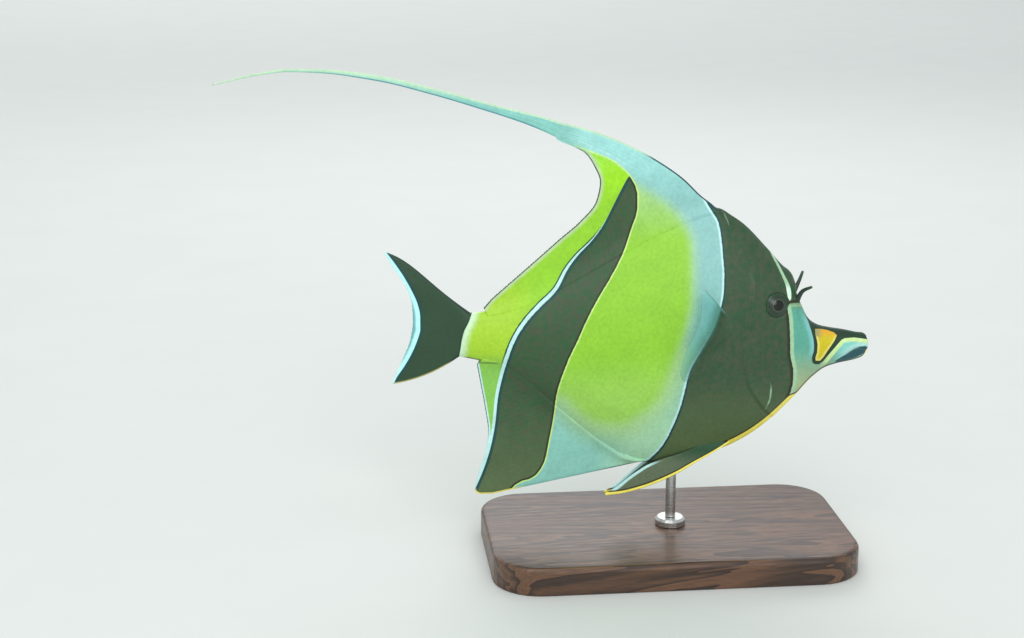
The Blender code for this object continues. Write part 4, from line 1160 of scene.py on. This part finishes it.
def tail_finish(tones):
    """Dark fin membrane with a bright crescent and a clear grey margin behind it."""
    material, shader, tree, place = new_finish("tail_fin_membrane")
    layers = [
        (tones.tail_black, [("tail_line", -0.15, 0.15)]),
        (tones.dark_line, [("tail_line", -0.1, 0.2), ("tail_line", 1.1, 0.4)]),
        (tones.dark_line, [("side", 1.1, 0.3), ("tail_line", 0.0, 0.3)]),
        (tones.cool_hairline, [("tail_margin", -1.6, -0.4)]),
        # Painted warm reflection from below along the lower lobe's edge.
        (tones.tail_warm_reflection, [("side", 0.8, 0.4), ("tail_line", 2.0, 6.0), ("height", 104, 98)]),
        (tones.crescent, [("tail_margin", -0.15, 0.2)]),
        (tones.clear_margin, [("tail_margin", 1.2, 2.6)]),
    ]
    colour = paint(tree, (*tones.tail_fringe, 1.0), layers)
    fin_sheen(tree, shader, colour, place, tones.ray_dark, 0.06)
    return material


def pelvic_finish(tones):
    """Greyish fin membrane with a painted warm reflection along the spine and a pale line behind."""
    material, shader, tree, place = new_finish("pelvic_fin_membrane")
    layers = [
        (tones.pelvic, [("out", 0.1, 0.5)]),
        (tones.bright_line, [("from_rear", 1.3, 0.9), ("out", 0.4, 0.55)]),
        # Painted warm reflection from below along the spine, with a brownish edge inside it.
        (tones.warm_hairline, [("from_spine", 2.4, 1.8)]),
        (tones.painted_warm_reflection, [("from_spine", 1.6, 1.1)]),
    ]
    colour = paint(tree, (*tones.front_band, 1.0), layers)
    fin_sheen(tree, shader, colour, place, tones.ray_dark, 0.06)
    return material


def clear_fin_finish(tones):
    """Clear bluish fin membrane: the flank shows faintly through, the band as a dark shade."""
    material, shader, tree, place = new_finish("clear_fin_membrane")
    layers = [
        (tones.clear_low, [("height", 104, 82)]),
        (tones.clear_dark, [("front_band_rear", -5.0, -0.5)]),
        (tones.front_band, [("front_band_rear", -1.2, 1.2)]),
        (tones.clear_lead, [("lead", 0.5, 0.2)]),
    ]
    fin_sheen(tree, shader, paint(tree, (*tones.clear_fin, 1.0), layers), place, tones.ray_pale, 0.04)
    band = add(tree, "Attribute", output="Fac", attribute_name="front_band_rear")
    out = add(tree, "Attribute", output="Fac", attribute_name="out")
    cover = {"Value": band, "From Min": -0.4, "From Max": 2.4, "To Min": 0.78, "To Max": 0.05}
    solid = add(tree, "MapRange", cover)
    thinning = {"Value": out, "From Min": 0.5, "From Max": 1.0, "To Min": 1.0, "To Max": 0.3}
    thin = add(tree, "MapRange", thinning)
    surface(tree, shader, {"Alpha": add(tree, "Math", {0: solid, 1: thin}, operation="MULTIPLY")})
    return material


def eye_finish(tones):
    """Polished glass eye: black pupil, dark green-brown iris with a thin dull ring."""
    material, shader, tree, place = new_finish("polished_glass_eye")
    layers = [
        (tones.iris, [("from_middle", 2.35, 2.6)]),
        (tones.iris_ring, [("from_middle", 2.3, 2.45), ("from_middle", 2.8, 2.65)]),
        (tones.eye_rim, [("from_middle", 3.9, 4.9)]),
    ]
    colour = paint(tree, (*tones.pupil, 1.0), layers)
    colour = mottled(tree, colour, 0.8, 0.14, place)
    links = {"Base Color": colour}
    surface(tree, shader, links, Roughness=0.25, IOR=SKIN_IOR, Coat_Weight=0.15, Coat_Roughness=0.06)
    return material


def horn_finish(tones):
    """Bony skin-covered horn: dark, ringed by growth, paler towards its tip."""
    material, shader, tree, place = new_finish("bony_horn")
    colour = paint(tree, (*tones.horn, 1.0), [(tones.rear_band, [("out", 0.75, 1.0)])])
    colour = mottled(tree, colour, 0.9, 0.16, place)
    grain = add(tree, "TexNoise", {"Vector": place, "Scale": 1000 / 0.5, "Detail": 2.0}, output="Fac")
    bump = add(tree, "Bump", {"Height": grain, "Strength": 0.3, "Distance": 0.00005})
    surface(tree, shader, {"Base Color": colour, "Normal": bump}, Roughness=0.45)
    return material


def walnut_finish(sizes, tones):
    """Planed and oiled walnut: long dark grain, short open pores, a soft sheen."""
    material, shader, tree, place = new_finish("oiled_walnut")
    turned = {"Vector": place, "Scale": (0.09, 1.0, 1.0), "Rotation": (0.3, 0.0, 0.06)}
    lie = add(tree, "Mapping", turned)
    figure = {"Vector": lie, "Scale": 1 / sizes.grain_width, "Detail": 3.0, "Distortion": 0.8}
    bend = add(tree, "TexNoise", figure, output="Fac")
    bands = add(tree, "Math", {0: bend, 1: 9.0}, operation="MULTIPLY")
    bands = add(tree, "Math", {0: bands}, operation="FRACT")
    ramp = {"Value": bands, "From Min": 0.1, "From Max": 1.0}
    dark = add(tree, "MapRange", ramp, interpolation_type="SMOOTHSTEP")
    long = add(tree, "Mapping", {"Vector": place, "Scale": (0.06, 1.0, 1.0)})
    pores = add(tree, "TexNoise", {"Vector": long, "Scale": 1000 / 0.5, "Detail": 2.0}, output="Fac")
    woods = {0: dark, 6: (*tones.wood_light, 1.0), 7: (*tones.wood_dark, 1.0)}
    colour = add(tree, "Mix", woods, output=2, data_type="RGBA")
    darkening = {"Value": pores, "From Min": 0.3, "From Max": 0.65, "To Min": 0.62, "To Max": 1.08}
    shade = add(tree, "MapRange", darkening)
    colour = add(tree, "HueSaturation", {"Value": shade, "Color": colour})
    bump = add(tree, "Bump", {"Height": pores, "Strength": 0.25, "Distance": 0.00008})
    shine = {"Value": pores, "From Min": 0.3, "From Max": 0.7, "To Min": 0.52, "To Max": 0.34}
    gloss = add(tree, "MapRange", shine)
    links = {"Base Color": colour, "Roughness": gloss, "Normal": bump}
    surface(tree, shader, links, Coat_Weight=0.2, Coat_Roughness=0.2)
    return material


def steel_finish(tones):
    """Turned stainless steel: fine rings round the rod, a soft reflection."""
    material, shader, tree, place = new_finish("turned_stainless_steel")
    rings = add(tree, "Mapping", {"Vector": place, "Scale": (0.05, 0.05, 1.0)})
    marks = add(tree, "TexNoise", {"Vector": rings, "Scale": 1000 / 0.25, "Detail": 2.0}, output="Fac")
    streak = {"Value": marks, "From Min": 0.3, "From Max": 0.7, "To Min": 0.88, "To Max": 1.06}
    tint = add(tree, "MapRange", streak)
    colour = add(tree, "HueSaturation", {"Value": tint, "Color": (*tones.steel, 1.0)})
    shine = {"Value": marks, "From Min": 0.3, "From Max": 0.7, "To Min": 0.22, "To Max": 0.38}
    gloss = add(tree, "MapRange", shine)
    bump = add(tree, "Bump", {"Height": marks, "Strength": 0.15, "Distance": 0.00003})
    surface(tree, shader, {"Base Color": colour, "Roughness": gloss, "Normal": bump}, Metallic=1.0)
    return material


def floor_finish(tones):
    """Matt studio paper: pale, very faintly uneven."""
    material, shader, tree, place = new_finish("matt_studio_paper")
    colour = mottled(tree, (*tones.floor, 1.0), 60.0, 0.01, place)
    surface(tree, shader, {"Base Color": colour}, Roughness=0.85)
    return material


def refinish(name, material):
    """Gives a solid of the frame a finish of its own."""
    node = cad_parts[name]
    for place in node.material_slots:
        place.link = "DATA"
        place.material = material


def finish_stand(sizes, tones):
    wood, steel = walnut_finish(sizes, tones), steel_finish(tones)
    refinish("stand_base", wood)
    refinish("stand_collar", steel)
    refinish("stand_rod", steel)


def aim(obj, target):
    """Turns a light or camera to look at a place."""
    obj.rotation_euler = (Vector(target) - obj.location).to_track_quat("-Z", "Y").to_euler()


def soft_light(name, place, target, size, power, tone):
    """A square soft light that the camera doesn't see."""
    lamp = bpy.data.lights.new(name, "AREA")
    lamp.shape = "SQUARE"
    lamp.size = size
    lamp.energy = power
    lamp.color = tone
    obj = bpy.data.objects.new(name, lamp)
    obj.location = place
    obj.visible_camera = False
    bpy.context.scene.collection.objects.link(obj)
    aim(obj, target)


# Each soft light as (name, place, target, size, power, colour), in metres and watts.
FISH_MIDDLE = (-0.03, 0.0, 0.11)
LIGHTS = [
    ("key_light", (-0.35, -0.75, 1.05), FISH_MIDDLE, 0.8, 4.2, (1.0, 0.99, 0.96)),
    ("fill_light", (0.35, -1.9, 0.95), FISH_MIDDLE, 0.9, 10.8, (0.97, 0.99, 1.0)),
    ("back_light", (0.1, 0.9, 0.9), FISH_MIDDLE, 0.8, 3.0, (1.0, 1.0, 1.0)),
    ("floor_light", (-0.3, 2.8, 1.7), (-0.3, 1.8, 0.0), 2.0, 16.0, (1.0, 1.0, 1.0)),
]
CAMERA_PLACE = (-0.14769, -0.76851, 0.31294)
CAMERA_TARGET = (-0.06692, 0.0, 0.10589)
CAMERA_LENS = 67.3


def set_stage(sizes, tones):
    """Pale floor, soft lights and the camera.

    The camera is 0.8 m from the fish, 6 degrees behind square and 15 above.
    """
    mesh = bpy.data.meshes.new("floor")
    reach = sizes.floor_reach
    corners = [(-reach, -reach, 0), (reach, -reach, 0), (reach, reach, 0), (-reach, reach, 0)]
    mesh.from_pydata(corners, [], [(0, 1, 2, 3)])
    floor = bpy.data.objects.new("floor", mesh)
    bpy.context.scene.collection.objects.link(floor)
    mesh.materials.append(floor_finish(tones))

    for light in LIGHTS:
        soft_light(*light)

    world = bpy.data.worlds.new("studio")
    bpy.context.scene.world = world
    world.use_nodes = True
    sky = world.node_tree.nodes["Background"].inputs
    sky["Color"].default_value = (0.93, 0.97, 1.0, 1.0)
    sky["Strength"].default_value = 0.75

    lens = bpy.data.cameras.new("camera")
    lens.sensor_width = 36.0
    lens.lens = CAMERA_LENS
    lens.clip_start = 0.01
    camera = bpy.data.objects.new("camera", lens)
    camera.location = CAMERA_PLACE
    bpy.context.scene.collection.objects.link(camera)
    aim(camera, CAMERA_TARGET)
    bpy.context.scene.camera = camera
    bpy.context.scene.view_settings.view_transform = "Standard"


def length(name, metres, description):
    """A length setting in metres."""
    kind = {"subtype": "DISTANCE", "unit": "LENGTH"}
    return bpy.props.FloatProperty(
        name=name, description=description, default=metres, min=0.0, precision=5, **kind
    )


def tone(name, code, description):
    """A colour setting whose default is an sRGB hex colour."""
    kind = {"size": 3, "subtype": "COLOR", "min": 0.0, "max": 1.0}
    return bpy.props.FloatVectorProperty(
        name=name, description=description, default=linear(code), **kind
    )


class IdolSizes(bpy.types.PropertyGroup):
    """Fine sizes of the finish, and the floor."""

    scale_width: length("Scale width", 0.0009, "Distance from one scale of the skin to the next")
    scale_rise: length("Scale rise", 0.00006, "How far the scales stand proud")
    band_fray: length("Band fray", 0.0001, "How far the bands' edges stray to each side")
    ray_height: length("Ray height", 0.000014, "How far the rays stand over the fin membrane")
    fin_wave: length("Fin wave", 0.0006, "How far the upright fins wave to each side")
    eye_dome: length("Eye dome", 0.00025, "Height of the clear dome over the pupil")
    growth_ring: length("Growth ring", 0.00005, "How far the rings of the horns stand proud")
    grain_width: length("Grain width", 0.018, "Width of the grain figure of the base")
    floor_reach: length("Floor reach", 6.0, "Distance from the middle to the floor's edges")


class IdolTones(bpy.types.PropertyGroup):
    """Colours of the fish and its stand."""

    pale: tone("Pale blue", "#8bc0bc", "Leading pale zone of the flank")
    low_pale: tone("Low pale", "#86bfb4", "Pale zone lower down")
    belly_pale: tone("Belly", "#87c5b7", "Pale belly")
    light_belly: tone("Light belly", "#aaddb6", "Lighter rear part of the belly")
    top_yellow: tone("Top yellow", "#a5d380", "Upper end of the yellow field")
    yellow_haze: tone("Yellow haze", "#a8d496", "Soft lower end of the yellow field")
    yellow: tone("Yellow", "#8ec930", "Middle of the yellow field")
    low_yellow: tone("Low yellow", "#9cd258", "Lower end of the yellow field")
    rear_yellow: tone("Rear yellow", "#92d02a", "Yellow behind the rear band")
    bright_yellow: tone("Bright yellow", "#9ce010", "Yellow at the top of the dorsal fin")
    stalk_yellow: tone("Stalk yellow", "#a6d230", "Yellow of the tail stalk")
    # A painted shadow under the tail stalk, where it meets the anal fin.
    painted_stalk_shadow: tone("Stalk shadow", "#4f7a34", "Dark line under the tail stalk")
    anal_yellow: tone("Anal yellow", "#86c452", "Yellow strip of the anal fin")
    bright_line: tone("Bright line", "#bfeae8", "Blue-white lines beside the bands")
    yellow_line: tone("Yellow line", "#c4ea86", "Pale yellow lines")
    dark_line: tone("Dark line", "#1d3a2c", "Fine lines beside the bands and on the tail fin")
    # Also the painted shadow along the anal fin's leading edge.
    cool_hairline: tone("Cool hairline", "#0c4446", "Bluish dark edge on the rear side of each band")
    # Also the brownish inner edge of the painted warm reflection on throat and belly fins.
    warm_hairline: tone("Warm hairline", "#2e291a", "Brownish dark edge on the front side of each band")
    front_band: tone("Front band", "#274e31", "Dark band over the head")
    rear_band: tone("Rear band", "#2b5631", "Dark band over the rear")
    brown_band: tone("Brown of the bands", "#434f38", "Warmer patches in both bands")
    low_band: tone("Low band", "#566b45", "Lighter lower end of both bands")
    shoulder_line: tone("Shoulder line", "#6d8f7c", "Faint pale strand on the shoulder")
    cheek: tone("Cheek", "#5aa893", "Pale face in front of the band")
    low_cheek: tone("Low cheek", "#a4b98c", "Pale throat")
    cheek_top: tone("Cheek top", "#6c9468", "Brownish top of the pale face")
    cheek_edge: tone("Cheek edge", "#7fc2c0", "Bluish edge of the face beside the snout")
    cheek_line: tone("Cheek line", "#a2cca2", "Pale line at the front of the head band")
    saddle: tone("Saddle", "#cdbd10", "Yellow saddle on the snout")
    saddle_top: tone("Saddle top", "#e2aa30", "Orange upper edge of the saddle")
    saddle_corner: tone("Saddle corner", "#a5a064", "Dull upper corner of the saddle")
    saddle_edge: tone("Saddle edge", "#e2d468", "Lighter lower edges of the saddle")
    snout_black: tone("Snout black", "#1b3826", "Black of the snout")
    lip_pale: tone("Pale lip", "#cfeaa0", "Pale yellow edge of the lip")
    lip_blue: tone("Blue lip", "#86d0c3", "Light blue of the lip")
    lip_light: tone("Light lip", "#aadcd4", "Brightest part of the lip, over the dark patch")
    jaw_patch: tone("Jaw patch", "#24545a", "Dark patch on the lower jaw")
    brow_line: tone("Brow line", "#a4d0a8", "Pale line over the forehead")
    brow_end: tone("Brow end", "#dcf6e4", "Bright lower end of the brow line")
    cheek_arc: tone("Cheek arc", "#9cc4a0", "Faint pale arc on the gill cover")
    pelvic: tone("Belly fin", "#647359", "Greyish membrane of the belly fins")
    # A painted warm reflection from below, on the lower edges of throat, belly fins and anal fin.
    painted_warm_reflection: tone("Warm rim", "#fcee66", "Warm rim of the throat and pelvic spine")
    tail_fringe: tone("Tail fringe", "#cfeec8", "White fringe before the tail fin")
    tail_black: tone("Tail black", "#29472f", "Dark of the tail fin")
    crescent: tone("Crescent", "#c0ffff", "Bright crescent of the tail fin")
    # A painted warm reflection from below on the tail fin's lower edge.
    tail_warm_reflection: tone("Tail rim", "#b4b060", "Thin warm rim under the tail fin")
    clear_margin: tone("Clear margin", "#6fb0b0", "Thin clear edge of the tail fin")
    rim_dark: tone("Dark rim", "#33503c", "Dark trailing edge of a fin")
    rim_pale: tone("Pale rim", "#b8d29a", "Greyish strip before the dorsal fin's rim")
    streamer_root: tone("Streamer root", "#9cdad4", "Top of the dorsal fin, where the streamer starts")
    streamer: tone("Streamer", "#80c4b8", "Middle of the streamer")
    streamer_thin: tone("Streamer tip", "#b0ddc2", "Thin end of the streamer")
    streamer_under: tone("Streamer, lower edge", "#4a97a4", "Darker lower edge of the streamer")
    # A painted highlight along the streamer's upper edge.
    streamer_highlight: tone("Streamer, upper edge", "#bcdcb8", "Pale green upper edge of the streamer")
    silk: tone("Silk", "#b8e4e2", "Silky streaks in the streamer's root")
    ray_pale: tone("Pale rays", "#c8ecd8", "Rays of the pale fins")
    ray_dark: tone("Dark rays", "#2a3f33", "Rays of the dark fins")
    clear_fin: tone("Clear fin", "#7cc8c4", "Membrane of the breast fins")
    clear_low: tone("Clear fin, low", "#62b492", "Lower half of the breast fins")
    clear_dark: tone("Clear fin, shaded", "#4c9484", "Breast fins next to the band")
    clear_lead: tone("Clear fin, first ray", "#63a09c", "First ray of the breast fins")
    iris: tone("Iris", "#26382a", "Dark green-brown iris")
    pupil: tone("Pupil", "#0d1210", "Black pupil")
    iris_ring: tone("Iris ring", "#46543a", "Thin dull ring round the pupil")
    eye_rim: tone("Eye rim", "#2c4531", "Outer rim of the eye")
    horn: tone("Horn", "#1f362a", "Dark horn")
    wood_light: tone("Light wood", "#6b4a33", "Pale grain of the base")
    wood_dark: tone("Dark wood", "#35231a", "Dark grain of the base")
    steel: tone("Steel", "#c9cac8", "Rod and collar")
    floor: tone("Floor", "#d9dcd8", "Studio floor")


class IDOL_OT_skin(bpy.types.Operator):
    """Make the skin of head, body and tail stalk"""

    bl_idname = "idol.skin"
    bl_label = "Skin"

    def execute(self, context):
        make_skin(context.scene.idol_sizes, context.scene.idol_tones)
        return {"FINISHED"}


class IDOL_OT_dorsal_fin(bpy.types.Operator):
    """Make the dorsal fin and its streamer"""

    bl_idname = "idol.dorsal_fin"
    bl_label = "Dorsal fin"

    def execute(self, context):
        make_dorsal_fin(context.scene.idol_sizes, context.scene.idol_tones)
        return {"FINISHED"}


class IDOL_OT_anal_fin(bpy.types.Operator):
    """Make the anal fin"""

    bl_idname = "idol.anal_fin"
    bl_label = "Anal fin"

    def execute(self, context):
        make_anal_fin(context.scene.idol_sizes, context.scene.idol_tones)
        return {"FINISHED"}


class IDOL_OT_tail_fin(bpy.types.Operator):
    """Make the tail fin"""

    bl_idname = "idol.tail_fin"
    bl_label = "Tail fin"

    def execute(self, context):
        make_tail_fin(context.scene.idol_sizes, context.scene.idol_tones)
        return {"FINISHED"}


class IDOL_OT_pectoral_fins(bpy.types.Operator):
    """Make both breast fins"""

    bl_idname = "idol.pectoral_fins"
    bl_label = "Breast fins"

    def execute(self, context):
        make_pectoral_fins(context.scene.idol_sizes, context.scene.idol_tones)
        return {"FINISHED"}


class IDOL_OT_pelvic_fins(bpy.types.Operator):
    """Make both belly fins"""

    bl_idname = "idol.pelvic_fins"
    bl_label = "Belly fins"

    def execute(self, context):
        make_pelvic_fins(context.scene.idol_sizes, context.scene.idol_tones)
        return {"FINISHED"}


class IDOL_OT_eyes(bpy.types.Operator):
    """Make both eyes"""

    bl_idname = "idol.eyes"
    bl_label = "Eyes"

    def execute(self, context):
        make_eyes(context.scene.idol_sizes, context.scene.idol_tones)
        return {"FINISHED"}


class IDOL_OT_horns(bpy.types.Operator):
    """Make both horns"""

    bl_idname = "idol.horns"
    bl_label = "Horns"

    def execute(self, context):
        make_horns(context.scene.idol_sizes, context.scene.idol_tones)
        return {"FINISHED"}


class IDOL_OT_stand(bpy.types.Operator):
    """Give the base, collar and rod their finishes"""

    bl_idname = "idol.stand"
    bl_label = "Stand"

    def execute(self, context):
        finish_stand(context.scene.idol_sizes, context.scene.idol_tones)
        return {"FINISHED"}


class IDOL_OT_stage(bpy.types.Operator):
    """Set the floor, lights and camera"""

    bl_idname = "idol.stage"
    bl_label = "Stage"

    def execute(self, context):
        set_stage(context.scene.idol_sizes, context.scene.idol_tones)
        return {"FINISHED"}


OPERATORS = (
    IDOL_OT_skin, IDOL_OT_dorsal_fin, IDOL_OT_anal_fin, IDOL_OT_tail_fin, IDOL_OT_pectoral_fins,
    IDOL_OT_pelvic_fins, IDOL_OT_eyes, IDOL_OT_horns, IDOL_OT_stand, IDOL_OT_stage,
)


class IDOL_PT_panel(bpy.types.Panel):
    """Lists the operators, sizes and colours in the sidebar"""

    bl_label = "Moorish idol"
    bl_space_type = "VIEW_3D"
    bl_region_type = "UI"
    bl_category = "Idol"

    def draw(self, context):
        for operator in OPERATORS:
            self.layout.operator(operator.bl_idname)
        for group in (context.scene.idol_sizes, context.scene.idol_tones):
            for name in type(group).__annotations__:
                self.layout.prop(group, name)


def register():
    bpy.utils.register_class(IdolSizes)
    bpy.utils.register_class(IdolTones)
    bpy.types.Scene.idol_sizes = bpy.props.PointerProperty(type=IdolSizes)
    bpy.types.Scene.idol_tones = bpy.props.PointerProperty(type=IdolTones)
    for operator in OPERATORS:
        bpy.utils.register_class(operator)
    bpy.utils.register_class(IDOL_PT_panel)


def unregister():
    bpy.utils.unregister_class(IDOL_PT_panel)
    for operator in reversed(OPERATORS):
        bpy.utils.unregister_class(operator)
    del bpy.types.Scene.idol_tones
    del bpy.types.Scene.idol_sizes
    bpy.utils.unregister_class(IdolTones)
    bpy.utils.unregister_class(IdolSizes)


def main():
    register()
    bpy.ops.idol.skin()
    bpy.ops.idol.dorsal_fin()
    bpy.ops.idol.anal_fin()
    bpy.ops.idol.tail_fin()
    bpy.ops.idol.pectoral_fins()
    bpy.ops.idol.pelvic_fins()
    bpy.ops.idol.eyes()
    bpy.ops.idol.horns()
    bpy.ops.idol.stand()
    bpy.ops.idol.stage()


if __name__ == "__main__":
    main()
